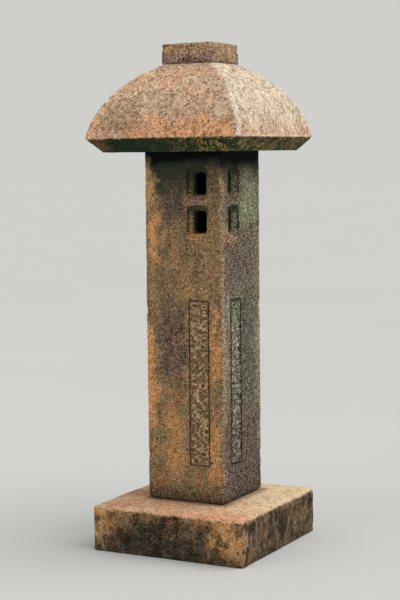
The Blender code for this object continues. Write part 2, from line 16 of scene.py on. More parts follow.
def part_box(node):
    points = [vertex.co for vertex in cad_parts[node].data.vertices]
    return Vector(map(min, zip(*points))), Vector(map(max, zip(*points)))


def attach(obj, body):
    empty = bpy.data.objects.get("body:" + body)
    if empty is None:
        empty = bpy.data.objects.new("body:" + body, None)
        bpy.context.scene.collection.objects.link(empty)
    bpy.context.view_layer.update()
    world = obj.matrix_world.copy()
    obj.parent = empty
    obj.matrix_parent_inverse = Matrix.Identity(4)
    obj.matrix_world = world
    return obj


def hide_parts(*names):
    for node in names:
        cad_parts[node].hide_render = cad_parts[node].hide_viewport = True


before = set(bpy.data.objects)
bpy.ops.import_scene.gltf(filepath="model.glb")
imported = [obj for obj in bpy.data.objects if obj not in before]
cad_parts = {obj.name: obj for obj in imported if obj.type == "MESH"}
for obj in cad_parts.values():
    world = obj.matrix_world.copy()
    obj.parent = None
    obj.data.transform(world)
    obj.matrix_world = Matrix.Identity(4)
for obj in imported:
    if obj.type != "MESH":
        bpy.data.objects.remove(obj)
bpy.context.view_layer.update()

SCENE = bpy.context.scene
MM = 0.001

# ---------------- camera

CAMERA_AZIMUTH = math.radians(28.317)
CAMERA_PITCH = math.radians(5.435)
CAMERA_ROLL = math.radians(-0.742)
CAMERA_DISTANCE = 2.7925
CAMERA_RIGHT = -0.0061
CAMERA_HEIGHT = 0.7144
CAMERA_LENS = 91.79


def make_camera():
    """The camera looks at the lantern's axis from the front right, a little downwards."""
    ahead = Vector((-math.sin(CAMERA_AZIMUTH), math.cos(CAMERA_AZIMUTH), 0.0))
    right = Vector((math.cos(CAMERA_AZIMUTH), math.sin(CAMERA_AZIMUTH), 0.0))
    level = Matrix.Rotation(-CAMERA_PITCH, 3, right)
    forward = level @ ahead
    up = level @ Vector((0.0, 0.0, 1.0))
    roll = Matrix.Rotation(-CAMERA_ROLL, 3, forward)
    axes = Matrix((roll @ right, roll @ up, -forward)).transposed().to_4x4()
    where = -ahead * CAMERA_DISTANCE + right * CAMERA_RIGHT + Vector((0.0, 0.0, CAMERA_HEIGHT))
    data = bpy.data.cameras.new("camera")
    data.lens = CAMERA_LENS
    data.sensor_width = 36.0
    data.clip_end = 50.0
    camera = bpy.data.objects.new("camera", data)
    SCENE.collection.objects.link(camera)
    camera.matrix_world = Matrix.Translation(where) @ axes
    SCENE.camera = camera


make_camera()

# ---------------- noise on arrays of points


HASH_SEED = 2654435761
HASH_AXES = (73856093, 19349663, 83492791)
HASH_MIXERS = ((16, 73244475), (15, 2246822519))


def hashed(cell, seed):
    """Three numbers from 0 to 1 for each whole-number cell, the same in every run."""
    whole = cell.astype(np.int64).astype(np.uint32)
    mixed = np.full(len(cell), seed * HASH_SEED % 2**32, np.uint32)
    for axis, factor in enumerate(HASH_AXES):
        mixed = mixed ^ whole[:, axis] * np.uint32(factor)
    numbers = []
    for _ in range(3):
        for shift, factor in HASH_MIXERS:
            mixed = (mixed ^ (mixed >> np.uint32(shift))) * np.uint32(factor)
        numbers.append(mixed / 2.0**32)
    return np.stack(numbers, axis=1)


def noise(points, size, seed):
    """Smooth noise, about -1 to 1, whose features are about size metres across, or (x, y, z) sizes."""
    scaled = points / np.asarray(size, float)
    base = np.floor(scaled)
    part = scaled - base
    fade = part**3 * (part * (part * 6 - 15) + 10)
    total = np.zeros(len(points))
    for corner in np.ndindex(2, 2, 2):
        offset = np.array(corner, float)
        slope = hashed(base + offset, seed) * 2 - 1
        weight = np.prod(np.where(offset > 0, fade, 1 - fade), axis=1)
        total += weight * np.sum(slope * (part - offset), axis=1)
    return total * 1.5


def layered_noise(points, size, seed, layers=3):
    """Noise with finer and fainter layers on it."""
    total = np.zeros(len(points))
    for layer in range(layers):
        total += noise(points, np.asarray(size, float) / 2**layer, seed + layer) / 2**layer
    return total


def nearest_cell(points, size, seed):
    """Distance to the nearest of many scattered points, in sizes, and a number of its own for that point."""
    scaled = points / size
    base = np.floor(scaled)
    best = np.full(len(points), 9.0)
    number = np.zeros(len(points))
    for corner in np.ndindex(3, 3, 3):
        cell = base + np.array(corner) - 1
        random = hashed(cell, seed)
        away = np.linalg.norm(cell + random - scaled, axis=1)
        closer = away < best
        best = np.where(closer, away, best)
        number = np.where(closer, random[:, 0], number)
    return best, number


def pitted(points, size, seed, rim, middle, bare):
    """0 outside scattered pits and 1 in their middles. Bare is the share of cells without a pit."""
    away, number = nearest_cell(points, size, seed)
    return ramp(away, rim, middle) * (number > bare)


def ramp(value, low, high):
    """0 below low, 1 above high, and smooth between them. Low may be the larger of the two."""
    share = np.clip((value - low) / (high - low), 0, 1)
    return share * share * (3 - 2 * share)


# ---------------- meshes


def new_object(name, mesh):
    made = bpy.data.objects.new(name, mesh)
    SCENE.collection.objects.link(made)
    return made


def ring_outline(half, radius, sides, corner_steps):
    """Points around a round-cornered square, anticlockwise. Sides holds each side's stations, 0 to 1."""
    points = []
    flat = half - radius
    for turn, stations in enumerate(sides):
        along = (2 * np.asarray(stations) - 1) * flat
        side = np.stack([np.full(len(along), half), along], axis=1)
        angles = np.radians(np.linspace(0, 90, corner_steps + 2)[1:-1])
        corner = np.stack([flat + radius * np.cos(angles), flat + radius * np.sin(angles)], axis=1)
        quarter = np.concatenate([side, corner])
        for _ in range(turn):
            quarter = np.stack([-quarter[:, 1], quarter[:, 0]], axis=1)
        points.append(quarter)
    return np.concatenate(points)


def even_sides(count):
    return [np.linspace(0, 1, count)] * 4


def skin(name, rings):
    """A closed skin through rings of equally many points, with a flat face at each end.

    The rings are anticlockwise as seen from beyond the last one, so every face looks outwards.
    """
    around = len(rings[0])
    here = np.arange(around)
    after = (here + 1) % around
    faces = []
    for row in range(len(rings) - 1):
        low, high = row * around, (row + 1) * around
        faces.extend(np.stack([low + here, low + after, high + after, high + here], axis=1).tolist())
    faces.append(here[::-1].tolist())
    faces.append((here + (len(rings) - 1) * around).tolist())
    mesh = bpy.data.meshes.new(name)
    mesh.from_pydata(np.concatenate(rings).tolist(), [], faces)
    mesh.update()
    return new_object(name, mesh)


def level_ring(outline, z):
    return np.column_stack([outline, np.full(len(outline), z)])


def ring_skin(name, sections, sides, corner_steps=4):
    """A skin through level square rings, each (half, radius, z), from the lowest up."""
    rings = [level_ring(ring_outline(half, radius, sides, corner_steps), z) for half, radius, z in sections]
    return skin(name, rings)


def reaches(points):
    """How near to its axis and how far from it each point lies, square on to the faces."""
    across = np.abs(points[:, :2])
    return across.min(axis=1), across.max(axis=1)


def rows_of(items, name):
    """The three numbers of each of a mesh's vertices or normals."""
    numbers = np.zeros(len(items) * 3)
    items.foreach_get(name, numbers)
    return numbers.reshape(-1, 3)


def wear(piece, height_of):
    """Moves each vertex along its normal by its height, in metres, and keeps its dirt and painted shading for
    the material.

    height_of takes the points and their normals and gives both. The kept value is from 1, dark with dirt or
    painted shade, to -1, pale with painted highlight.
    """
    mesh = piece.data
    points, normals = rows_of(mesh.vertices, "co"), rows_of(mesh.vertex_normals, "vector")
    height, dirt_and_shading = height_of(points, normals)
    moved = points + normals * height[:, None]
    mesh.vertices.foreach_set("co", moved.astype(np.float32).ravel())
    kept = mesh.attributes.new("dirt_and_shading", "FLOAT", "POINT")
    kept.data.foreach_set("value", np.clip(dirt_and_shading, -1, 1).astype(np.float32))
    mesh.update()


def cutter_box(half, low, high, radius=0.008):
    return ring_skin("cutter", [(half, radius, low), (half, radius, high)], even_sides(2), 5)


def cut(piece, *cutters, operation="DIFFERENCE"):
    """Cuts the cutters out of the piece, or joins them to it, and removes them."""
    for cutter in cutters:
        boolean = piece.modifiers.new("cut", "BOOLEAN")
        boolean.operation = operation
        boolean.solver = "EXACT"
        boolean.object = cutter
    graph = bpy.context.evaluated_depsgraph_get()
    made = bpy.data.meshes.new_from_object(piece.evaluated_get(graph))
    old = piece.data
    piece.modifiers.clear()
    piece.data = made
    made.name = piece.name
    bpy.data.meshes.remove(old)
    for cutter in cutters:
        bpy.data.objects.remove(cutter)


SHARP_ANGLE = math.radians(35)


def finish_piece(piece, body, material, nodes):
    """Shades the piece smooth except at sharp edges, and hands it to its CAD body."""
    piece.data.materials.clear()
    piece.data.materials.append(material)
    piece.data.shade_smooth()
    piece.data.set_sharp_from_angle(angle=SHARP_ANGLE)
    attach(piece, body)
    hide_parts(*nodes)


def node_box(name):
    low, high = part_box(name)
    return np.array(low), np.array(high)


# ---------------- stone shapes

COLUMN_RADIUS = 0.003
COLUMN_WORN_EDGE = 0.003
COLUMN_LEAN = 0.0014  # towards +X and +Y, at its head
LOWER_BORE_HALF = 0.043
UPPER_BORE_HALF = 0.053
DOWEL_HOLE_RADIUS = 0.0045
DOWEL_HOLE_DEPTH = 0.03
PAST = 0.01  # how far a cutter runs past the surface it cuts

WINDOW_HALF_WIDTH = 0.0225
WINDOW_HALF_HEIGHT = 0.03
WINDOW_CORNER = 0.013
WINDOW_LIP = 0.003
WINDOW_SCOOP = 0.0095
HOLE_HALF_WIDTH = 0.0122
HOLE_HALF_HEIGHT = 0.0195
HOLE_CORNER = 0.008
HOLE_RINGS = 8
WINDOW_HEIGHTS = (0.5948, 0.6632)

PANEL_HALF_WIDTH = 0.0178
PANEL_HALF_HEIGHT = 0.147
PANEL_Z = 0.3055
GROOVE_WIDTH = 0.0032
GROOVE_DEPTH = 0.003
GROOVE_WALL = 0.0006

# How far each pierced face's windows and panel stand from the face's middle, towards +X or +Y
FRONT_WINDOW, FRONT_PANEL = 0.0302, 0.0302
RIGHT_WINDOW, RIGHT_PANEL = -0.0272, -0.023

FINE = 0.0012
MEDIUM = 0.0025
COARSE = 0.005


def stops(places, steps):
    """Points from the first place to the last, through each place, about steps[i] apart after places[i]."""
    made = [places[0]]
    for start, end, step in zip(places, places[1:], steps):
        count = max(1, round((end - start) / step))
        made.extend(np.linspace(start, end, count + 1)[1:])
    return np.array(made)


def panel_stops(centre, half):
    """The four places on one side of a groove's two walls, on each side of the panel."""
    inner, outer = half, half + GROOVE_WIDTH
    right = [inner, inner + GROOVE_WALL, outer - GROOVE_WALL, outer]
    return [centre - place for place in reversed(right)] + [centre + place for place in right]


def column_side(flat, window, panel):
    """One pierced side's stations: fine across the windows and the panel."""
    grooves = panel_stops(panel, PANEL_HALF_WIDTH)
    low = min(window - WINDOW_HALF_WIDTH, grooves[0]) - FINE
    high = max(window + WINDOW_HALF_WIDTH, grooves[-1]) + FINE
    places = [-flat, low] + grooves + [high, flat]
    groove_steps = [GROOVE_WALL, GROOVE_WIDTH, GROOVE_WALL]
    steps = [MEDIUM, FINE] + groove_steps + [FINE] + groove_steps + [FINE, MEDIUM]
    return (stops(places, steps) / flat + 1) / 2


def inside_rectangle(across, up, half_width, half_height, radius=0.0):
    """How far inside a round-cornered rectangle each point lies. It is below 0 outside."""
    over = np.abs(across) - (half_width - radius)
    above = np.abs(up) - (half_height - radius)
    corner = np.hypot(np.maximum(over, 0), np.maximum(above, 0))
    return radius - corner - np.minimum(np.maximum(over, above), 0)


def window_depth(across, z, points):
    """A worn lip and then a hollow that falls ever more steeply to the hole. Gives its depth, and a painted
    shade line just inside the lip on the top and sides with a painted highlight on the lower rim.
    """
    depth = np.zeros(len(across))
    dirt_and_shading = np.zeros(len(across))
    ragged = 0.5 * MM * noise(points, 0.012, 71)
    for height in WINDOW_HEIGHTS:
        inside = ragged + inside_rectangle(
            across, z - height, WINDOW_HALF_WIDTH, WINDOW_HALF_HEIGHT, WINDOW_CORNER
        )
        share = np.clip(inside / (WINDOW_HALF_WIDTH - HOLE_HALF_WIDTH), 0, 1)
        hollow = np.arcsin(share) / math.radians(90)
        depth += WINDOW_LIP * ramp(inside, 0, 1.2 * MM) + WINDOW_SCOOP * hollow
        # Painted shade: a thin line just inside the lip, left off the lower part, where a painted highlight
        # pales the rim instead.
        line = ramp(inside, 0.1 * MM, 0.8 * MM) * ramp(inside, 2.6 * MM, 1.4 * MM)
        below = ramp(z - height, -0.016, -0.025)
        dirt_and_shading += line * (1 - below) - 0.5 * below * ramp(np.abs(inside), 1.6 * MM, 0.4 * MM)
    return depth, dirt_and_shading


def panel_depth(across, z, points, edge_shade):
    """A groove around a field of winding tool marks. Gives their depth, dirt in the groove, a painted shadow
    just inside it, and in the field painted shade in the sunk marks with painted highlight between them.
    """
    inside = inside_rectangle(across, z - PANEL_Z, PANEL_HALF_WIDTH, PANEL_HALF_HEIGHT)
    groove = ramp(inside, 0.0, -GROOVE_WALL) * ramp(inside, -GROOVE_WIDTH, GROOVE_WALL - GROOVE_WIDTH)
    groove_depth = groove * GROOVE_DEPTH * (0.85 + 0.35 * noise(points, 0.035, 81))
    field = ramp(inside, 0.6 * MM, 2.2 * MM)
    bent = points + 3.0 * MM * np.stack([noise(points, 0.009, seed) for seed in (82, 83, 84)], axis=1)
    sunk = ramp(np.abs(noise(bent, (0.01, 0.01, 0.0076), 85)), 0.12, 0.32)
    pecked = 0.5 * noise(points, 0.0032, 86)
    field_depth = field * (2.6 * sunk + pecked) * MM
    filled = 0.5 + 0.5 * ramp(noise(points, 0.022, 87), -0.5, 0.3)
    # Painted shadow in a band just inside the groove, as strong as the last argument asks.
    shade_beside = edge_shade * ramp(np.abs(inside + 0.5 * GROOVE_WIDTH), 4.2 * MM, 2.0 * MM)
    # The field: painted shade in its sunk marks and painted highlight on the stone between them.
    return groove_depth + field_depth, np.maximum(groove * filled, shade_beside) + field * (0.85 * sunk - 0.5)


def column_height(points, normals):
    """The column's wear, from its scoops and grooves to its chipped arrises. Gives its height, and its dirt
    with the painted shade and highlight of its windows and panels.
    """
    x, y, z = points.T
    front = normals[:, 1] < -0.8
    right = normals[:, 0] > 0.8
    low, high = node_box("column")
    free = ramp(z, low[2], low[2] + 8 * MM) * ramp(z, high[2] - 7 * MM, high[2] - 14 * MM)
    grain = 0.3 * noise(points, 0.0065, 11) + 0.2 * noise(points, 0.0035, 12)
    swell = 0.5 * layered_noise(points, (0.06, 0.06, 0.11), 13, 3)
    pits = pitted(points, 0.014, 15, 0.24, 0.05, 0.45)
    height = (swell + grain - 1.5 * pits) * MM
    dirt_and_shading = 0.9 * pits
    half = high[0]
    near_corner = ramp(reaches(points)[0], half - 7 * MM, half - 1 * MM)
    chips = ramp(noise(points, (0.024, 0.024, 0.03), 16), 0.28, 0.62)
    height -= near_corner * (1.7 * chips + 0.4 * noise(points, 0.008, 17)) * MM
    height *= free
    # The last number in each row is the strength of the painted shadow just inside the panel's groove.
    for face, across, window, panel, edge_shade in (
        (front, x, FRONT_WINDOW, FRONT_PANEL, 0.0),
        (right, y, RIGHT_WINDOW, RIGHT_PANEL, 0.7),
    ):
        scoop, scoop_shading = window_depth(across - window, z, points)
        groove, panel_dirt_and_shading = panel_depth(across - panel, z, points, edge_shade)
        height -= np.where(face, scoop + groove, 0)
        dirt_and_shading += np.where(face, scoop_shading + panel_dirt_and_shading, 0)
    return height, dirt_and_shading


def hole_cutter(face, offset, height):
    """A window's way through the wall, a little uneven."""
    across, up = rounded_outline(HOLE_HALF_WIDTH, HOLE_HALF_HEIGHT, HOLE_CORNER).T
    half = node_box("column")[1][0]
    rings = []
    for depth in np.linspace(UPPER_BORE_HALF - PAST, half + PAST, HOLE_RINGS):
        level = np.full(len(across), depth)
        if face == "front":
            ring = np.column_stack([across + offset, -level, up + height])
        else:
            ring = np.column_stack([level, across + offset, up + height])
        rings.append(ring + 0.35 * MM * noise(ring, 0.006, 91)[:, None])
    return skin("hole", rings)


def rounded_outline(half_width, half_height, radius, steps=8):
    """Points around a round-cornered rectangle, anticlockwise."""
    points = []
    for quarter, (side, up) in enumerate(((1, 1), (-1, 1), (-1, -1), (1, -1))):
        angles = np.radians(np.linspace(90 * quarter, 90 * quarter + 90, steps + 1))
        x = side * (half_width - radius) + radius * np.cos(angles)
        y = up * (half_height - radius) + radius * np.sin(angles)
        points.append(np.stack([x, y], axis=1))
    return np.concatenate(points)


def rod_cutter(radius, low, high, x=0.0, y=0.0, steps=32):
    turn = np.radians(np.linspace(0, 360, steps, endpoint=False))
    ring = np.column_stack([x + radius * np.cos(turn), y + radius * np.sin(turn)])
    return skin("rod", [level_ring(ring, z) for z in (low, high)])


def dowel_holes(low, high):
    """A hole over each dowel that the frame holds."""
    holes = []
    for number in (1, 2):
        near, far = node_box(f"column_dowel_{number}")
        x, y, _ = (near + far) / 2
        holes.append(rod_cutter(DOWEL_HOLE_RADIUS, low, high, x, y))
    return holes


def lean(piece, low, high):
    """Tilts the column a little, by less than the room that the roof's socket leaves around its head."""
    points = rows_of(piece.data.vertices, "co")
    share = (points[:, 2] - low) / (high - low)
    points[:, :2] += COLUMN_LEAN * share[:, None]
    piece.data.vertices.foreach_set("co", points.astype(np.float32).ravel())
    piece.data.update()


def build_column(material):
    low, high = node_box("column")
    half = high[0]
    flat = half - COLUMN_RADIUS
    groove_z = panel_stops(PANEL_Z, PANEL_HALF_HEIGHT)
    window_low = WINDOW_HEIGHTS[0] - WINDOW_HALF_HEIGHT - FINE
    window_high = WINDOW_HEIGHTS[1] + WINDOW_HALF_HEIGHT + FINE
    edge = COLUMN_WORN_EDGE
    places = [low[2] + edge] + groove_z + [window_low, window_high, high[2] - edge]
    groove_steps = [GROOVE_WALL, GROOVE_WIDTH, GROOVE_WALL]
    steps = [MEDIUM] + groove_steps + [1.5 * MM] + groove_steps + [MEDIUM, FINE, MEDIUM]
    worn = 0.3 * edge
    rings = [(half - edge, low[2]), (half - worn, low[2] + worn)]
    rings += [(half, z) for z in stops(places, steps)]
    rings += [(half - worn, high[2] - worn), (half - edge, high[2])]
    sections = [(reach, COLUMN_RADIUS, z) for reach, z in rings]
    plain = (stops([-flat, flat], [COARSE]) / flat + 1) / 2
    right = column_side(flat, RIGHT_WINDOW, RIGHT_PANEL)
    front = column_side(flat, FRONT_WINDOW, FRONT_PANEL)
    column = ring_skin("column_stone", sections, [right, plain, plain, front])
    wear(column, column_height)
    ledge = node_box("lamp_shelf")[0][2]
    cutters = [
        cutter_box(LOWER_BORE_HALF, low[2] - PAST, ledge + PAST),
        cutter_box(UPPER_BORE_HALF, ledge, high[2] + PAST),
    ]
    cutters += dowel_holes(low[2] - PAST, low[2] + DOWEL_HOLE_DEPTH)
    for height in WINDOW_HEIGHTS:
        cutters += [hole_cutter("front", FRONT_WINDOW, height), hole_cutter("right", RIGHT_WINDOW, height)]
    cut(column, *cutters)
    lean(column, low[2], high[2])
    finish_piece(column, "base", material, ["column"])


ROOF_INNER_HALF = 0.082  # nothing wears closer in than this, where the roof bears on its pads
ROOF_UNDERSIDE_HALF = 0.1305
EAVE_HALF = 0.153
EAVE_Z = 0.7445
SHOULDER_HALF = 0.1385
SHOULDER_Z = 0.83
CROWN_HALF = 0.0535
DOME_LENGTH = 0.178
CROWN_RINGS = (0.051, 0.048, 0.044, 0.04)
HIP_RADIUS_EAVE = 0.0035
HIP_RADIUS_CROWN = 0.013
SOCKET_HALF = 0.079
SOCKET_DEPTH = 0.01
CAVITY_HALF_TOP = 0.044
CAVITY_DEPTH = 0.08
CAVITY_RADIUS = 0.008
MORTISE_RADIUS = 0.026
MORTISE_DEPTH = 0.028
ROOF_STEP = 0.0017


def roof_sections():
    """Rings from the middle of the underside out to the eave, up the dome and in over the crown."""
    low, high = node_box("roof")
    underside, crown = low[2], high[2]
    flat = stops([ROOF_INNER_HALF, ROOF_UNDERSIDE_HALF], [4 * MM])
    sections = [(half, HIP_RADIUS_EAVE, underside) for half in flat]
    overhang = EAVE_HALF - ROOF_UNDERSIDE_HALF
    for share in np.linspace(0, 1, round(overhang / (0.7 * ROOF_STEP)))[1:]:
        half = ROOF_UNDERSIDE_HALF + overhang * share
        sections.append((half, HIP_RADIUS_EAVE, underside + (EAVE_Z - underside) * share))
    for t in np.linspace(0, 1, round(DOME_LENGTH / ROOF_STEP) + 1)[1:]:
        start, middle, end = (1 - t) ** 2, 2 * t * (1 - t), t**2
        half = start * EAVE_HALF + middle * SHOULDER_HALF + end * CROWN_HALF
        z = start * EAVE_Z + middle * SHOULDER_Z + end * crown
        sections.append((half, HIP_RADIUS_EAVE + (HIP_RADIUS_CROWN - HIP_RADIUS_EAVE) * t, z))
    return sections + [(half, HIP_RADIUS_CROWN, crown) for half in CROWN_RINGS]


def slope_marks(points, seed):
    """Winding chisel marks. On the two side faces they run down the slope, and on the others they wander."""
    x, y, z = points.T
    side = np.abs(x) > np.abs(y)
    across = np.where(side, y, x)
    along = np.where(side, np.abs(x), np.abs(y)) - z
    laid = np.column_stack([across, along, np.where(side, 0.3, 0.0) + np.sign(x + y) * 0.05])
    bent = laid + 1.5 * MM * np.stack([noise(laid, 0.009, seed + shift) for shift in (1, 2, 3)], axis=1)
    wandering = np.abs(noise(bent, (0.0062, 0.0074, 0.01), seed))
    sloping = np.abs(noise(bent, (0.0052, 0.024, 0.01), seed))
    pieces = ramp(noise(laid, (0.009, 0.011, 0.01), seed + 4), -0.1, 0.3)
    return ramp(np.where(side, sloping, wandering), 0.26, 0.05) * pieces


def roof_height(points, normals):
    z = points[:, 2]
    low, high = node_box("roof")
    bearing = ramp(reaches(points)[1], ROOF_INNER_HALF, ROOF_INNER_HALF + 8 * MM)
    free = np.where(z > low[2] + 1 * MM, ramp(z, high[2], high[2] - 4 * MM), bearing)
    swell = 0.8 * layered_noise(points, 0.085, 21, 2) + 0.45 * noise(points, 0.02, 24)
    grain = 0.35 * noise(points, 0.0055, 25)
    marks = slope_marks(points, 31)
    top = ramp(normals[:, 2], -0.1, 0.1)
    pits = pitted(points, 0.016, 26, 0.22, 0.04, 0.5)
    height = swell + grain - (0.35 + 0.65 * top) * marks - 1.2 * pits
    eave = ramp(np.abs(z - EAVE_Z), 5 * MM, 0.5 * MM)
    height -= eave * (0.6 * noise(points, 0.011, 27) + 1.5 * ramp(noise(points, 0.028, 28), 0.3, 0.6))
    return height * free * MM, np.maximum(0.6 * marks * top, 0.8 * pits)


def build_roof(material):
    low, high = node_box("roof")
    underside, crown = low[2], high[2]
    side = round(2 * EAVE_HALF / ROOF_STEP)
    roof = ring_skin("roof_stone", roof_sections(), even_sides(side), corner_steps=6)
    wear(roof, roof_height)
    cavity = [
        (UPPER_BORE_HALF, CAVITY_RADIUS, underside - PAST),
        (UPPER_BORE_HALF, CAVITY_RADIUS, underside + 2 * SOCKET_DEPTH),
        (CAVITY_HALF_TOP, CAVITY_RADIUS, underside + CAVITY_DEPTH),
    ]
    cut(
        roof,
        cutter_box(SOCKET_HALF, underside - PAST, underside + SOCKET_DEPTH),
        ring_skin("cavity", cavity, even_sides(12)),
        rod_cutter(MORTISE_RADIUS, crown - MORTISE_DEPTH, crown + PAST, steps=64),
    )
    finish_piece(roof, "roof", material, ["roof"])


def arris_rings(half, top, radius, angles):
    """Rings over a rounded arris, each (half, z), from its side up to its top."""
    turns = np.radians(angles)
    return [(half - radius * (1 - math.cos(turn)), top - radius * (1 - math.sin(turn))) for turn in turns]


PLINTH_UNDERSIDE_HALF = 0.12
PLINTH_SEAT_HALF = 0.084
PLINTH_SEAT_RINGS = (0.08, 0.076, 0.072)
PLINTH_SEAT_Z = 0.088
PLINTH_WASH_DROP = 0.005
PLINTH_ARRIS = 0.007
PLINTH_CORNER = 0.005
PLINTH_TOP_CORNER = 0.008
PLINTH_FOOT = 0.0025
SLEEVE_HOLE_RADIUS = 0.0165
PLINTH_STEP = 0.002


def plinth_sections():
    half = node_box("plinth")[1][0]
    top = PLINTH_SEAT_Z - PLINTH_WASH_DROP
    under = stops([PLINTH_UNDERSIDE_HALF, half - PLINTH_FOOT], [6 * MM])
    sections = [(inner, PLINTH_CORNER, 0.0) for inner in under]
    sections.append((half, PLINTH_CORNER, PLINTH_FOOT))
    for z in stops([PLINTH_FOOT, top - PLINTH_ARRIS], [PLINTH_STEP])[1:]:
        sections.append((half, PLINTH_CORNER, z))
    for inner, z in arris_rings(half, top, PLINTH_ARRIS, np.linspace(0, 90, 8)[1:]):
        sections.append((inner, PLINTH_CORNER - 0.4 * (half - inner), z))
    wash = half - PLINTH_ARRIS - PLINTH_SEAT_HALF
    for inward in stops([0.0, wash], [PLINTH_STEP])[1:]:
        rise = PLINTH_WASH_DROP * inward / wash
        sections.append((half - PLINTH_ARRIS - inward, PLINTH_TOP_CORNER, top + rise))
    return sections + [(inner, PLINTH_TOP_CORNER, PLINTH_SEAT_Z) for inner in PLINTH_SEAT_RINGS]


def plinth_height(points, normals):
    z = points[:, 2]
    beyond_seat = ramp(reaches(points)[1], PLINTH_SEAT_HALF - 6 * MM, PLINTH_SEAT_HALF + 2 * MM)
    free = np.where(z > 0.5 * PLINTH_SEAT_Z, beyond_seat, ramp(z, 0.0, 4 * MM))
    swell = 1.0 * layered_noise(points, 0.07, 41, 2) + 0.6 * noise(points, 0.022, 44)
    grain = 0.4 * noise(points, 0.006, 45)
    side = ramp(normals[:, 2], 0.7, 0.3)
    pits = pitted(points, 0.019, 46, 0.28, 0.05, 0.45) * (0.4 + 0.6 * side)
    lumps = ramp(noise(points, 0.016, 47), 0.1, 0.55) * side
    edge = ramp(normals[:, 2], 0.1, 0.4) * ramp(normals[:, 2], 0.95, 0.7)
    chips = ramp(noise(points, 0.03, 48), 0.18, 0.5) * edge
    height = swell + grain - 1.7 * pits - 0.9 * lumps - 2.2 * chips
    return height * free * MM, np.maximum(pits, 0.7 * lumps)


def build_plinth(material):
    side = round(2 * node_box("plinth")[1][0] / PLINTH_STEP)
    plinth = ring_skin("plinth_stone", plinth_sections(), even_sides(side), corner_steps=6)
    wear(plinth, plinth_height)
    holes = dowel_holes(PLINTH_SEAT_Z - DOWEL_HOLE_DEPTH, PLINTH_SEAT_Z + PAST)
    cut(plinth, rod_cutter(SLEEVE_HOLE_RADIUS, -PAST, PLINTH_SEAT_Z + PAST, steps=48), *holes)
    finish_piece(plinth, "base", material, ["plinth"])


FINIAL_RADIUS = 0.003
FINIAL_GAP = 0.0003  # between the block and the roof's crown
FINIAL_BASE_RINGS = (0.03, 0.036, 0.042, 0.047)
FINIAL_STEP = 0.0015
TENON_RADIUS = 0.025


def finial_sections(base):
    half, _, top = node_box("finial")[1]
    edge = FINIAL_RADIUS
    rings = [(inner, base) for inner in FINIAL_BASE_RINGS]
    rings += [(half - 1 * MM, base), (half, base + 1 * MM)]
    rings += [(half, z) for z in stops([base + 1 * MM, top - edge], [FINIAL_STEP])[1:]]
    rings += arris_rings(half, top, edge, (25, 50, 72, 90))
    sections = [(reach, edge, z) for reach, z in rings]
    for inward in stops([0.0, half - edge - 6 * MM], [FINIAL_STEP])[1:]:
        sections.append((half - edge - inward, edge * (1 - inward / half), top))
    return sections


def finial_height(points, normals):
    z = points[:, 2]
    base = node_box("roof")[1][2]
    free = ramp(z, base, base + 3 * MM)
    swell = 0.8 * layered_noise(points, 0.045, 51, 2) + 0.4 * noise(points, 0.014, 54)
    grain = 0.35 * noise(points, 0.005, 55)
    pits = pitted(points, 0.012, 56, 0.3, 0.05, 0.4)
    half, _, top = node_box("finial")[1]
    near, reach = reaches(points)
    corner = ramp(near, half - 8 * MM, half - 2 * MM)
    rim = ramp(z, top - 5 * MM, top - 1 * MM) * ramp(reach, half - 6 * MM, half)
    chips = np.maximum(corner, rim) * ramp(noise(points, 0.016, 57), 0.05, 0.5)
    height = swell + grain - 1.3 * pits - 1.8 * chips
    return height * free * MM, pits


def build_finial(material):
    low, high = node_box("finial")
    base = node_box("roof")[1][2] + FINIAL_GAP
    side = round(2 * high[0] / FINIAL_STEP)
    finial = ring_skin("finial_stone", finial_sections(base), even_sides(side), corner_steps=5)
    wear(finial, finial_height)
    tenon = rod_cutter(TENON_RADIUS, low[2], base + 6 * MM, steps=64)
    cut(finial, tenon, operation="UNION")
    finish_piece(finial, "finial", material, ["finial"])


BEDDING_RADIUS = 0.006
BEDDING_OPENING_HALF = 0.046
BEDDING_BULGE = ((-1.0, 0.0), (0.4, 0.25), (0.8, 0.5), (0.4, 0.75), (-1.0, 1.0))  # mm out, share of height


def bedding_height(points, normals):
    upright = np.abs(normals[:, 2]) < 0.9
    height = np.where(upright, 0.9 * noise(points, 0.007, 61) + 0.5 * noise(points, 0.003, 62), 0) * MM
    return height, ramp(height, 0, -0.8 * MM)


def build_bedding(material):
    """The mortar joint: a thin square ring whose outer edge is squeezed out unevenly."""
    low, high = node_box("column_bedding")
    thick = high[2] - low[2]
    sections = [(high[0] + out * MM, BEDDING_RADIUS, low[2] + thick * share) for out, share in BEDDING_BULGE]
    bedding = ring_skin("column_bedding_mortar", sections, even_sides(70))
    wear(bedding, bedding_height)
    opening = cutter_box(BEDDING_OPENING_HALF, low[2] - PAST, high[2] + PAST)
    cut(bedding, opening, *dowel_holes(low[2] - PAST, high[2] + PAST))
    finish_piece(bedding, "base", material, ["column_bedding"])


# ---------------- materials

SEEN_GAMMA = 2.2
DARKEST = 0.02
STONE_GLOSS = 0.12


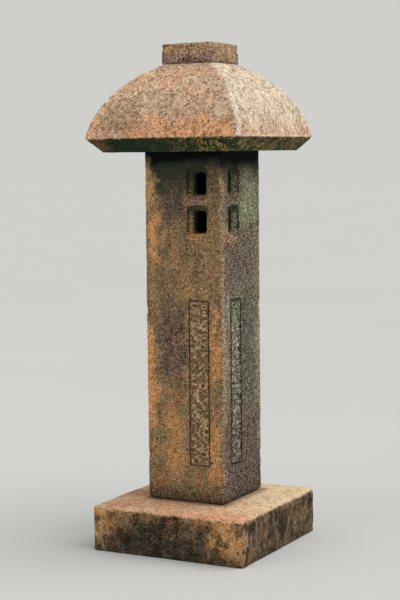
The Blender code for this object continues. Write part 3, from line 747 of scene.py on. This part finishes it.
class Paint:
    """The nodes of one material, and the colour laid so far. Its methods take numbers or sockets."""

    def __init__(self, name, roughness=0.9, metallic=0.0):
        self.material = bpy.data.materials.new(name)
        self.material.use_nodes = True
        self.tree = self.material.node_tree
        self.tree.nodes.clear()
        self.shader = self.node("BsdfPrincipled")
        self.shader.inputs["Roughness"].default_value = roughness
        self.shader.inputs["Metallic"].default_value = metallic
        output = self.node("OutputMaterial")
        self.tree.links.new(self.shader.outputs["BSDF"], output.inputs["Surface"])
        self.place = self.node("TexCoord").outputs["Object"]
        self.x, self.y, self.z = self.node("SeparateXYZ", Vector=self.place).outputs
        self.colour = None

    def node(self, kind, settings=None, **inputs):
        made = self.tree.nodes.new("ShaderNode" + kind)
        for name, value in (settings or {}).items():
            setattr(made, name, value)
        for name, value in inputs.items():
            self.feed(made.inputs[name.replace("_", " ")], value)
        return made

    def feed(self, socket, value):
        if isinstance(value, bpy.types.NodeSocket):
            self.tree.links.new(value, socket)
        else:
            socket.default_value = value

    def math(self, operation, *values, kind="Math"):
        made = self.node(kind, {"operation": operation})
        for socket, value in zip(made.inputs, values):
            self.feed(socket, value)
        return made.outputs[0]

    def add(self, *values):
        return reduce(lambda total, value: self.math("ADD", total, value), values)

    def times(self, *values):
        return reduce(lambda total, value: self.math("MULTIPLY", total, value), values)

    def rest(self, value, share=1.0):
        """What a share of the value leaves of 1."""
        return self.add(1.0, self.times(value, -share))

    def size(self, value):
        return self.math("ABSOLUTE", value)

    def ramp(self, value, low, high, start=0.0, end=1.0):
        """Start below low, end above high, and smooth between them. Low may be the larger of the two."""
        if low > high:
            low, high, start, end = high, low, end, start
        made = self.node("MapRange", {"interpolation_type": "SMOOTHSTEP"}, Value=value)
        for name, number in (("From Min", low), ("From Max", high), ("To Min", start), ("To Max", end)):
            made.inputs[name].default_value = number
        return made.outputs[0]

    def noise(self, size, shift, stretch=(1, 1, 1), detail=2.0, roughness=0.5, distortion=0.0):
        """Smooth noise from 0 to 1, about 0.5, with features of about size metres.

        The shift moves it, and a stretch of 4 makes its features 4 times as long.
        """
        where = (shift, 0.3 * shift, 0.7 * shift)
        scale = [1 / amount for amount in stretch]
        place = self.node("Mapping", Vector=self.place, Location=where, Scale=scale).outputs[0]
        shape = {"Scale": 1 / size, "Detail": detail, "Roughness": roughness, "Distortion": distortion}
        return self.node("TexNoise", Vector=place, **shape).outputs[0]

    def mix(self, factor, one, other):
        made = self.node("Mix", {"data_type": "RGBA"})
        self.feed(made.inputs[0], factor)
        for socket, value in ((made.inputs[6], one), (made.inputs[7], other)):
            self.feed(socket, value if isinstance(value, bpy.types.NodeSocket) else (*value, 1.0))
        return made.outputs[2]

    def spread(self, value, low, high, one, other):
        """Begins the colour: one below low, the other above high."""
        self.colour = self.mix(self.ramp(value, low, high), one, other)

    def lay(self, colour, *masks):
        """Lays another colour over the present one, as far as all of the masks let it."""
        self.colour = self.mix(self.times(*masks), self.colour, colour)

    def fade(self, colour, value, low, high, *masks):
        """Lays another colour over the present one, from low, where it is absent, to high."""
        self.lay(colour, self.ramp(value, low, high), *masks)

    def brighten(self, amount):
        """Multiplies the colour by a number."""
        scaled = self.node("VectorMath", {"operation": "SCALE"}, Vector=self.colour, Scale=amount)
        self.colour = scaled.outputs[0]

    def lift(self, step):
        """Moves the colour by an even grey step of lightness, so that grains differ in depth, not in tint."""
        seen = self.node("Gamma", Color=self.colour, Gamma=1 / SEEN_GAMMA).outputs[0]
        moved = self.math("ADD", seen, step, kind="VectorMath")
        above = self.math("MAXIMUM", moved, (DARKEST, DARKEST, DARKEST), kind="VectorMath")
        self.colour = self.node("Gamma", Color=above, Gamma=SEEN_GAMMA).outputs[0]

    def bump(self, height, metres):
        return self.node("Bump", Height=height, Strength=1.0, Distance=metres).outputs[0]

    def finish(self, bump=None, roughness=None):
        self.feed(self.shader.inputs["Base Color"], self.colour)
        if bump is not None:
            self.feed(self.shader.inputs["Normal"], bump)
        if roughness is not None:
            self.feed(self.shader.inputs["Roughness"], roughness)
        return self.material


class StonePaint(Paint):
    """A stone's paint, with a mask for each of its four faces and soft-edged stains placed on them."""

    def __init__(self, name):
        super().__init__(name)
        self.shader.inputs["Specular IOR Level"].default_value = STONE_GLOSS
        blend, step = 0.004, 0.001
        sideways = self.math("SUBTRACT", self.size(self.x), self.size(self.y))
        to_x = self.ramp(sideways, -blend, blend)
        to_y = self.ramp(sideways, blend, -blend)
        self.masks = {
            "front": self.times(to_y, self.ramp(self.y, 0.0, -step)),
            "back": self.times(to_y, self.ramp(self.y, 0.0, step)),
            "right": self.times(to_x, self.ramp(self.x, 0.0, step)),
            "left": self.times(to_x, self.ramp(self.x, 0.0, -step)),
        }
        self.wander = self.times(self.add(self.noise(0.03, 3.0, detail=3.0), -0.5), 0.06)
        self.fray = self.times(self.add(self.noise(0.006, 5.0), -0.5), 0.016)

    def reach(self):
        """How far out the stone is from its axis, square on to its faces."""
        return self.math("MAXIMUM", self.size(self.x), self.size(self.y))

    def band(self, value, low, high, soft):
        """1 from low to high, with edges that wander and fray."""
        uneven = self.add(value, self.add(self.wander, self.fray))
        rise = self.ramp(uneven, low - soft, low + soft)
        return self.times(rise, self.ramp(uneven, high + soft, high - soft))

    def patch(self, face, left, right, low, high, soft):
        """1 on one face, over a span across it and a span up it. All five lengths are in millimetres."""
        run = self.x if face in ("front", "back") else self.y
        across = self.band(run, left * MM, right * MM, soft * MM)
        return self.times(self.masks[face], across, self.band(self.z, low * MM, high * MM, 1.6 * soft * MM))

    def stain(self, face, *rows):
        """Lays stains on one face. Each row has a colour, the lengths that patch takes, and a strength."""
        for colour, *lengths, strength in rows:
            self.lay(colour, self.patch(face, *lengths), strength)

    def grain(self, size, depth):
        """Breaks the colour into fine winding grains and finer speckle. Dark, damp stone shows them less."""
        worms = self.noise(2.0 * size, 7.0, detail=2.0, roughness=0.65, distortion=1.6)
        speckle = self.noise(0.9 * size, 9.0, detail=1.0, distortion=0.7)
        worms = self.ramp(worms, 0.38, 0.62, -0.87, 0.73)
        speckle = self.ramp(speckle, 0.34, 0.66, -0.97, 0.83)
        tone = self.node("RGBToBW", Color=self.colour).outputs[0]
        dry = self.ramp(tone, 0.01, 0.07, 0.35, 1.0)
        self.lift(self.times(self.add(worms, speckle), depth, dry))

    def mottle(self, size, depth, shift=15.0):
        """Lightens and darkens the colour in soft patches."""
        self.lift(self.times(self.ramp(self.noise(size, shift), 0.32, 0.68, -1.0, 1.0), depth))

    def soil(self, colour, strength):
        """Lays the colour where the value kept on the mesh is above 0, dirt and on the column also painted
        shade, and pales the stone where it is below 0, a painted highlight.
        """
        dirt_and_shading = self.node("Attribute", {"attribute_name": "dirt_and_shading"}).outputs["Fac"]
        self.lay(colour, self.ramp(dirt_and_shading, 0.0, 0.9), strength)
        # Painted highlight where the kept value is below 0.
        self.lift(self.ramp(dirt_and_shading, 0.0, -0.7, 0.0, 0.16))

    def speck(self, size, strength):
        """Scatters small specks that are paler than the colour around them."""
        specks = self.noise(size, 11.0, detail=1.0, distortion=0.5)
        self.lift(self.times(self.ramp(specks, 0.58, 0.7), strength))

    def winding(self, size, width, shift, stretch=(1, 1, 1)):
        """Thin winding lines, broken into short pieces."""
        line = self.size(self.add(self.noise(size, shift, stretch, detail=1.0, distortion=0.8), -0.5))
        pieces = self.ramp(self.noise(1.7 * size, shift + 4.0, stretch, detail=1.0), 0.42, 0.56)
        return self.times(self.ramp(line, width, 0.2 * width), pieces)

    def finish_stone(self, blotches, bump_depth, *marks, grain=0.0032, smoothest=0.84):
        """Ends the paint with a fine bump, and with a roughness that follows the blotches."""
        height = self.add(self.noise(grain, 4.0, detail=3.0, roughness=0.65), *marks)
        return self.finish(self.bump(height, bump_depth), self.ramp(blotches, 0.3, 0.7, smoothest, 0.96))


PANEL_BLEND = 0.001
WELL = (0.0755, 0.0738)  # how far out the windows' wells begin, and where their shade is full
WELL_DEEP = (0.0682, 0.064)
WALL_INSIDE = (0.058, 0.0535)


def column_paint():
    """Iron-brown cast stone: rust runs, purple-brown stains, grey-green weathering and a damp black head,
    deepened by painted shade under the roof, with painted shade and highlight at the windows and panels.
    """
    brown, pale_brown, umber = (0.225, 0.146, 0.068), (0.29, 0.186, 0.086), (0.118, 0.08, 0.043)
    # The rosy colour is painted highlight on the windows' lower rims.
    rust, ember, rosy_highlight = (0.51, 0.25, 0.094), (0.7, 0.335, 0.125), (0.26, 0.125, 0.105)
    red_brown, purple, plum = (0.33, 0.15, 0.072), (0.098, 0.06, 0.056), (0.116, 0.075, 0.056)
    olive, grey_green, lichen = (0.185, 0.152, 0.066), (0.17, 0.152, 0.096), (0.29, 0.31, 0.185)
    tan, ochre, slate = (0.4, 0.258, 0.132), (0.48, 0.3, 0.13), (0.095, 0.095, 0.067)
    # The damp and soot colours are partly stain and partly painted shade under the roof.
    damp_and_shade, soot_and_shade, earth = (0.03, 0.036, 0.026), (0.0018, 0.0044, 0.0034), (0.066, 0.042, 0.026)
    # The hollow colour is dirt and painted shade in the hollows. The shade and black colours are painted
    # shade in the windows.
    hollow, shade, black = (0.034, 0.022, 0.015), (0.026, 0.036, 0.024), (0.002, 0.002, 0.002)
    field, ash = (0.265, 0.172, 0.086), (0.18, 0.168, 0.112)
    paint = StonePaint("column_stone_paint")
    right = paint.masks["right"]
    runs = paint.noise(0.022, 1.0, stretch=(1, 1, 6), detail=3.0)
    blotches = paint.noise(0.035, 2.0, detail=4.0, roughness=0.6)
    tints = paint.noise(0.026, 16.0, detail=3.0)
    tinted = paint.ramp(paint.z, 0.42, 0.3, 0.35, 1.0)
    paint.spread(blotches, 0.42, 0.66, brown, pale_brown)
    paint.fade(umber, blotches, 0.46, 0.34, 0.5)
    paint.fade(rust, runs, 0.54, 0.68, 0.25)
    paint.fade(purple, runs, 0.46, 0.32, 0.35)
    paint.fade(red_brown, tints, 0.52, 0.64, tinted, 0.75)
    paint.fade(olive, tints, 0.48, 0.36, tinted, 0.6)
    paint.lay(grey_green, right, 0.8)
    paint.lay(grey_green, paint.masks["left"], 0.45)
    paint.stain(
        "front",
        (ember, -66, -48, 515, 605, 8, 0.7),
        (ember, -95, -60, 220, 400, 12, 0.8),
        (purple, -50, -22, 310, 450, 16, 0.8),
        (purple, -18, 5, 320, 445, 12, 0.8),
        (purple, -45, 10, 600, 650, 12, 0.85),
        (rust, -40, -2, 140, 250, 14, 0.7),
        (rust, 52, 71, 310, 450, 7, 0.85),
        (rust, 50, 72, 130, 230, 10, 0.9),
    )
    # Damp seeping down from the roof, partly stain and partly painted shade.
    seep_and_shade = paint.patch("front", -58, 12, 646, 760, 10)
    paint.lay(damp_and_shade, seep_and_shade, 0.96)
    # The damp row is partly stain and partly painted shade under the roof. The rosy and rust rows at the foot
    # of each window's hollow are painted highlight on the lower rims.
    paint.stain(
        "front",
        (umber, 30, 90, 640, 740, 14, 0.75),
        (damp_and_shade, 10, 44, 672, 740, 6, 0.9),
        (rosy_highlight, 16, 42, 629, 645, 4, 0.8),
        (rust, 8, 40, 562, 580, 5, 0.75),
    )
    paint.stain(
        "right",
        (tan, -95, -63, 120, 690, 8, 0.75),
        (lichen, 0, 66, 590, 680, 14, 0.72),
        (lichen, -62, -46, 405, 455, 8, 0.6),
        (plum, -60, 50, 480, 580, 16, 0.62),
        (rust, -60, -20, 552, 590, 10, 0.5),
        (plum, -76, 90, 40, 250, 30, 0.96),
        (slate, -4, 50, 250, 460, 14, 0.85),
        (tan, 64, 95, 160, 560, 10, 0.4),
    )
    paint.stain(
        "back",
        (rust, -60, -10, 180, 420, 20, 0.55),
        (lichen, 10, 70, 420, 600, 25, 0.45),
        (purple, -30, 40, 540, 640, 20, 0.6),
    )
    paint.stain("left", (rust, 0, 60, 240, 560, 20, 0.5), (lichen, -66, -30, 300, 500, 20, 0.4))
    # Damp soot under the roof, deepened by painted shade; soil at the foot; dirt with painted shade and
    # highlight in the hollows; painted shade in the windows, black inside the wall
    high = paint.add(paint.z, paint.times(paint.wander, 0.6), paint.times(right, 0.006))
    paint.fade(damp_and_shade, high, 0.674, 0.704, 0.85)
    paint.fade(soot_and_shade, high, 0.693, 0.71)
    paint.stain("front", (ochre, -95, -56, 625, 702, 9, 0.85))
    paint.fade(earth, high, 0.135, 0.092, 0.8)
    up = (paint.z, PANEL_Z, PANEL_HALF_HEIGHT)
    for face, tone, across in (
        ("front", field, (paint.x, FRONT_PANEL, PANEL_HALF_WIDTH)),
        ("right", ash, (paint.y, RIGHT_PANEL, PANEL_HALF_WIDTH)),
    ):
        inside = [
            paint.ramp(paint.size(paint.add(run, -middle)), half + PANEL_BLEND, half - PANEL_BLEND)
            for run, middle, half in (across, up)
        ]
        paint.lay(tone, paint.masks[face], *inside, 0.55)
    # Dirt in pits and grooves, with painted shade under the windows' lips and in the panels' sunk marks, and
    # painted highlight on the lower rims and raised marks.
    paint.soil(hollow, 0.85)
    dry = paint.times(paint.ramp(high, 0.706, 0.664, 0.25, 1.0), paint.rest(seep_and_shade, 0.65))
    paint.grain(0.002, paint.times(paint.add(0.132, paint.times(right, 0.1)), dry))
    paint.speck(0.0024, paint.times(dry, 0.075))
    # Painted shade in the windows' wells: under the top of each lip, deeper down each hollow, and black
    # inside the wall.
    out = paint.add(paint.reach(), paint.times(paint.fray, 0.12))
    for height in WINDOW_HEIGHTS:
        above = paint.add(paint.z, -height)
        overhung = paint.times(paint.ramp(above, 0.004, 0.024), paint.ramp(above, 0.034, 0.032))
        paint.fade(shade, out, *WELL, overhung, 0.8)
    paint.fade(shade, out, *WELL_DEEP, 0.92)
    paint.fade(black, out, *WALL_INSIDE)
    return paint.finish_stone(blotches, 0.0034, smoothest=0.82)


def roof_paint():
    """Pale pinkish tan with dark winding marks, rust near the eave, bleached hips and a mossy underside kept
    dark by painted shade.
    """
    tan, pink, grey = (0.6, 0.42, 0.275), (0.66, 0.405, 0.26), (0.43, 0.285, 0.175)
    rust, bleached, pale = (0.76, 0.37, 0.18), (0.8, 0.72, 0.62), (0.8, 0.67, 0.5)
    # The moss colour is partly moss and partly painted shade under the eave.
    dark, moss_and_shade, ochre = (0.11, 0.062, 0.04), (0.014, 0.027, 0.015), (0.4, 0.3, 0.098)
    brown, drawn = (0.23, 0.12, 0.052), (1, 1, 4)
    paint = StonePaint("roof_stone_paint")
    right, left = paint.masks["right"], paint.masks["left"]
    blotches = paint.noise(0.045, 1.0, detail=4.0, roughness=0.6)
    paint.spread(blotches, 0.36, 0.66, tan, pink)
    paint.lay(pale, right, 0.85)
    paint.lay(grey, left, 0.35)
    paint.stain(
        "front",
        (rust, -80, 160, 735, 772, 10, 0.8),
        (rust, -170, -120, 740, 790, 14, 0.6),
        (grey, -125, -50, 754, 800, 18, 0.75),
    )
    paint.stain("right", (rust, -160, 160, 735, 768, 12, 0.45))
    paint.stain("back", (rust, -150, 60, 740, 775, 12, 0.55))
    paint.stain("left", (rust, -150, 20, 740, 770, 12, 0.55))
    hip = paint.size(paint.add(paint.size(paint.x), paint.times(paint.size(paint.y), -1.0)))
    paint.fade(bleached, hip, 0.013, 0.002, paint.ramp(blotches, 0.35, 0.6), 0.65)
    sides = paint.add(right, left)
    others = paint.rest(sides)
    strokes = paint.add(
        paint.times(paint.winding(0.0056, 0.04, 6.0), others),
        paint.times(paint.winding(0.0048, 0.04, 6.5, drawn), sides),
    )
    ridges = paint.add(
        paint.times(paint.winding(0.0052, 0.06, 12.0), others),
        paint.times(paint.winding(0.0046, 0.06, 13.0, drawn), sides),
    )
    paint.brighten(paint.add(1.0, paint.times(ridges, 0.28)))
    paint.lay(dark, strokes, 0.8)
    paint.soil(dark, 0.62)
    paint.mottle(0.03, 0.036)
    paint.grain(0.0018, 0.11)
    # The chamfer under the eave: moss and ochre flecks, kept nearly black by painted shade, with more ochre
    # and a paler tone towards the right
    above = paint.colour
    reach = paint.add(paint.x, paint.wander, paint.times(right, 0.12))
    flecks = paint.noise(0.006, 8.0, stretch=(1, 1, 1.8), detail=3.0, roughness=0.65, distortion=1.4)
    patches = paint.ramp(paint.noise(0.02, 14.0), 0.34, 0.6, 0.25, 1.0)
    amount = paint.times(paint.ramp(flecks, 0.44, 0.62), paint.ramp(reach, -0.08, 0.165, 0.04, 1.0), patches)
    paint.colour = paint.mix(amount, moss_and_shade, ochre)
    paint.stain("front", (brown, -180, -115, 700, 760, 12, 0.5))
    paint.lift(paint.times(right, 0.03))
    paint.grain(0.0026, 0.055)
    below = paint.ramp(paint.add(paint.z, paint.times(paint.fray, 0.4)), EAVE_Z + 0.0005, EAVE_Z - 0.002)
    paint.colour = paint.mix(below, above, paint.colour)
    return paint.finish_stone(blotches, 0.0026, paint.times(ridges, 0.4), paint.times(strokes, -0.6))


def finial_paint():
    """The finial: tan where rain reaches it, purple-brown low down and on the shaded faces."""
    tan, orange, pale = (0.35, 0.226, 0.12), (0.31, 0.172, 0.086), (0.45, 0.3, 0.165)
    purple, dark = (0.255, 0.165, 0.128), (0.09, 0.056, 0.044)
    paint = StonePaint("finial_stone_paint")
    right = paint.masks["right"]
    blotches = paint.noise(0.026, 1.0, detail=4.0, roughness=0.6)
    paint.spread(blotches, 0.42, 0.66, tan, orange)
    paint.lay(pale, right, 0.75)
    low = paint.add(paint.z, paint.times(paint.wander, 0.5))
    paint.fade(purple, low, 0.9, 0.884, paint.rest(right, 0.6))
    paint.fade(dark, low, 0.884, 0.877, 0.6)
    paint.lay(dark, paint.winding(0.006, 0.07, 2.0), 0.6)
    paint.soil(dark, 0.7)
    paint.mottle(0.02, 0.04)
    paint.grain(0.0021, 0.165)
    return paint.finish_stone(blotches, 0.0022, grain=0.003)


def plinth_paint():
    """The plinth: a rain-washed pink and tan top over streaked and stained sides, dark low down and darkest
    low on the front.
    """
    pink, tan, bleached = (0.545, 0.29, 0.17), (0.57, 0.38, 0.23), (0.65, 0.495, 0.31)
    side_brown, rust, soil = (0.33, 0.198, 0.1), (0.58, 0.3, 0.108), (0.04, 0.031, 0.02)
    black, near_column, stroke = (0.02, 0.018, 0.013), (0.11, 0.066, 0.042), (0.15, 0.085, 0.052)
    paint = StonePaint("plinth_stone_paint")
    blotches = paint.noise(0.05, 1.0, detail=4.0, roughness=0.6)
    paint.spread(blotches, 0.42, 0.62, pink, tan)
    paint.fade(bleached, paint.add(paint.x, paint.y, paint.wander), -0.01, 0.12, 0.85)
    top = paint.colour
    drips = paint.noise(0.024, 4.0, stretch=(1, 1, 2.2), detail=4.0, roughness=0.55, distortion=0.6)
    rusty = paint.noise(0.03, 6.0, detail=4.0, roughness=0.6)
    paint.spread(drips, 0.43, 0.56, soil, side_brown)
    paint.fade(rust, rusty, 0.5, 0.68, 0.7)
    # Dark patches low on the front and right faces, darkest low on the front.
    paint.stain("front", (soil, -100, 75, -100, 72, 20, 0.78), (black, -110, 40, -100, 52, 20, 0.8))
    paint.stain("right", (soil, -120, 200, -100, 100, 24, 0.56))
    paint.stain("front", (rust, 90, 160, 10, 80, 18, 0.75), (rust, -170, -90, 50, 90, 18, 0.65))
    paint.lay(soil, paint.winding(0.009, 0.06, 3.0, stretch=(1, 1, 2)), 0.5)
    paint.fade(top, paint.add(paint.z, paint.times(paint.fray, 0.45)), 0.076, 0.081)
    out = paint.add(paint.reach(), paint.times(paint.fray, 0.5))
    paint.fade(near_column, out, 0.094, 0.079, paint.ramp(paint.z, 0.07, 0.08), 0.55)
    # Darker towards the foot.
    paint.fade(soil, paint.add(paint.z, paint.wander), 0.03, 0.0, 0.6)
    paint.lay(stroke, paint.winding(0.008, 0.06, 8.0), 0.5)
    paint.soil(soil, 0.75)
    paint.mottle(0.022, 0.025)
    paint.mottle(0.013, paint.times(paint.ramp(paint.z, 0.082, 0.076), 0.03), shift=17.0)
    paint.grain(0.0022, 0.11)
    return paint.finish_stone(blotches, 0.0022)


def mortar_paint():
    paint = Paint("mortar_paint")
    lumps = paint.noise(0.01, 1.0, detail=3.0)
    paint.spread(lumps, 0.35, 0.65, (0.03, 0.024, 0.018), (0.085, 0.066, 0.048))
    bump = paint.bump(paint.noise(0.0025, 2.0, detail=3.0), 0.001)
    return paint.finish(bump, paint.ramp(lumps, 0.3, 0.7, 0.85, 0.97))


def metal_paint(name, colour, worn, roughness, brushed=(1, 1, 1)):
    """Metal with fine brushing or casting grain, and a duller tone in patches."""
    paint = Paint(name, roughness, metallic=1.0)
    patches = paint.noise(0.01, 1.0, detail=3.0)
    brushing = paint.noise(0.0012, 2.0, stretch=brushed)
    paint.spread(patches, 0.4, 0.7, colour, worn)
    paint.brighten(paint.ramp(brushing, 0.3, 0.7, 0.88, 1.08))
    rough = paint.ramp(patches, 0.3, 0.7, roughness - 0.08, roughness + 0.1)
    rough = paint.add(rough, paint.ramp(brushing, 0.3, 0.7, -0.05, 0.05))
    return paint.finish(paint.bump(brushing, 0.00006), rough)


def moulded_paint(name, colour, roughness, grain=0.0007, depth=0.00008):
    """Moulded plastic, rubber or glazed ceramic: an even tone with slight mottling and a fine skin."""
    paint = Paint(name, roughness)
    mottle = paint.noise(0.008, 1.0, detail=3.0)
    paint.spread(mottle, 0.35, 0.7, colour, tuple(0.82 * part for part in colour))
    bump = paint.bump(paint.noise(grain, 2.0), depth)
    return paint.finish(bump, paint.ramp(mottle, 0.3, 0.7, roughness - 0.05, roughness + 0.07))


def glass_paint():
    paint = Paint("clear_glass_paint", roughness=0.02)
    haze = paint.noise(0.006, 1.0)
    paint.shader.inputs["Transmission Weight"].default_value = 1.0
    paint.shader.inputs["IOR"].default_value = 1.47
    paint.spread(haze, 0.4, 0.7, (0.99, 0.99, 0.98), (0.95, 0.96, 0.95))
    return paint.finish(None, paint.ramp(haze, 0.3, 0.8, 0.01, 0.06))


# ---------------- lamp kit, light and floor


def paint_frame():
    """Gives each CAD node that still shows its own finish, by the start of its name."""
    pins = metal_paint("stainless_rod_paint", (0.6, 0.6, 0.58), (0.42, 0.4, 0.36), 0.38, (1, 1, 10))
    steel = metal_paint("stainless_steel_paint", (0.62, 0.62, 0.6), (0.44, 0.43, 0.4), 0.34, (12, 1, 1))
    zinc = metal_paint("zinc_plate_paint", (0.6, 0.61, 0.62), (0.4, 0.41, 0.43), 0.4)
    ceramic = moulded_paint("white_ceramic_paint", (0.76, 0.74, 0.69), 0.3, grain=0.0022, depth=0.00005)
    rubber = moulded_paint("black_rubber_paint", (0.022, 0.021, 0.02), 0.78, grain=0.001)
    finishes = {
        "column_dowel_": pins,
        "lamp_pin_": pins,
        "lamp_shelf": steel,
        "lampholder_": zinc,
        "lampholder": ceramic,
        "lamp_contact_": metal_paint("brass_paint", (0.72, 0.52, 0.22), (0.4, 0.27, 0.11), 0.34),
        "cable_sleeve": moulded_paint("grey_plastic_paint", (0.25, 0.26, 0.27), 0.55),
        "gland_seal": rubber,
        "roof_pad_": rubber,
        "gland_": moulded_paint("black_plastic_paint", (0.018, 0.018, 0.02), 0.48),
        "lamp_glass": glass_paint(),
    }
    for name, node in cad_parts.items():
        for start, finish in finishes.items():
            if name.startswith(start):
                node.data.materials.clear()
                node.data.materials.append(finish)
                break


FLOOR_HALF = 30.0


def make_floor():
    mesh = bpy.data.meshes.new("floor")
    corners = [(x * FLOOR_HALF, y * FLOOR_HALF, 0.0) for x, y in ((-1, -1), (1, -1), (1, 1), (-1, 1))]
    mesh.from_pydata(corners, [], [(0, 1, 2, 3)])
    floor = new_object("floor", mesh)
    paint = Paint("floor_paint")
    paint.colour = paint.mix(paint.noise(0.9, 1.0), (0.44, 0.44, 0.43), (0.47, 0.47, 0.46))
    mesh.materials.append(paint.finish())


WORLD_COLOUR, WORLD_STRENGTH = (1.0, 0.996, 0.968, 1.0), 0.628
KEY_FROM, KEY_WIDTH, KEY_STRENGTH = (0.5, 0.12, 1.0), math.radians(55), 2.5
FILL_PLACE, FILL_TARGET, FILL_SIZE, FILL_POWER = (-1.6, -2.8, 1.4), (0.0, 0.0, 0.4), 1.8, 24.0


def make_light():
    """A pale even surround, a broad overhead key from the right and behind, and a weak front left fill."""
    world = bpy.data.worlds.new("studio")
    world.use_nodes = True
    backdrop = world.node_tree.nodes["Background"]
    backdrop.inputs["Color"].default_value = WORLD_COLOUR
    backdrop.inputs["Strength"].default_value = WORLD_STRENGTH
    SCENE.world = world
    data = bpy.data.lights.new("overhead", "SUN")
    data.angle = KEY_WIDTH
    data.energy = KEY_STRENGTH
    key = new_object("overhead", data)
    key.rotation_euler = Vector(KEY_FROM).to_track_quat("Z", "Y").to_euler()
    data = bpy.data.lights.new("front_fill", "AREA")
    data.shape = "DISK"
    data.size = FILL_SIZE
    data.energy = FILL_POWER
    fill = new_object("front_fill", data)
    fill.location = FILL_PLACE
    fill.rotation_euler = (Vector(FILL_PLACE) - Vector(FILL_TARGET)).to_track_quat("Z", "Y").to_euler()


SCENE.view_settings.view_transform = "Standard"
build_plinth(plinth_paint())
build_bedding(mortar_paint())
build_column(column_paint())
build_roof(roof_paint())
build_finial(finial_paint())
paint_frame()
make_floor()
make_light()
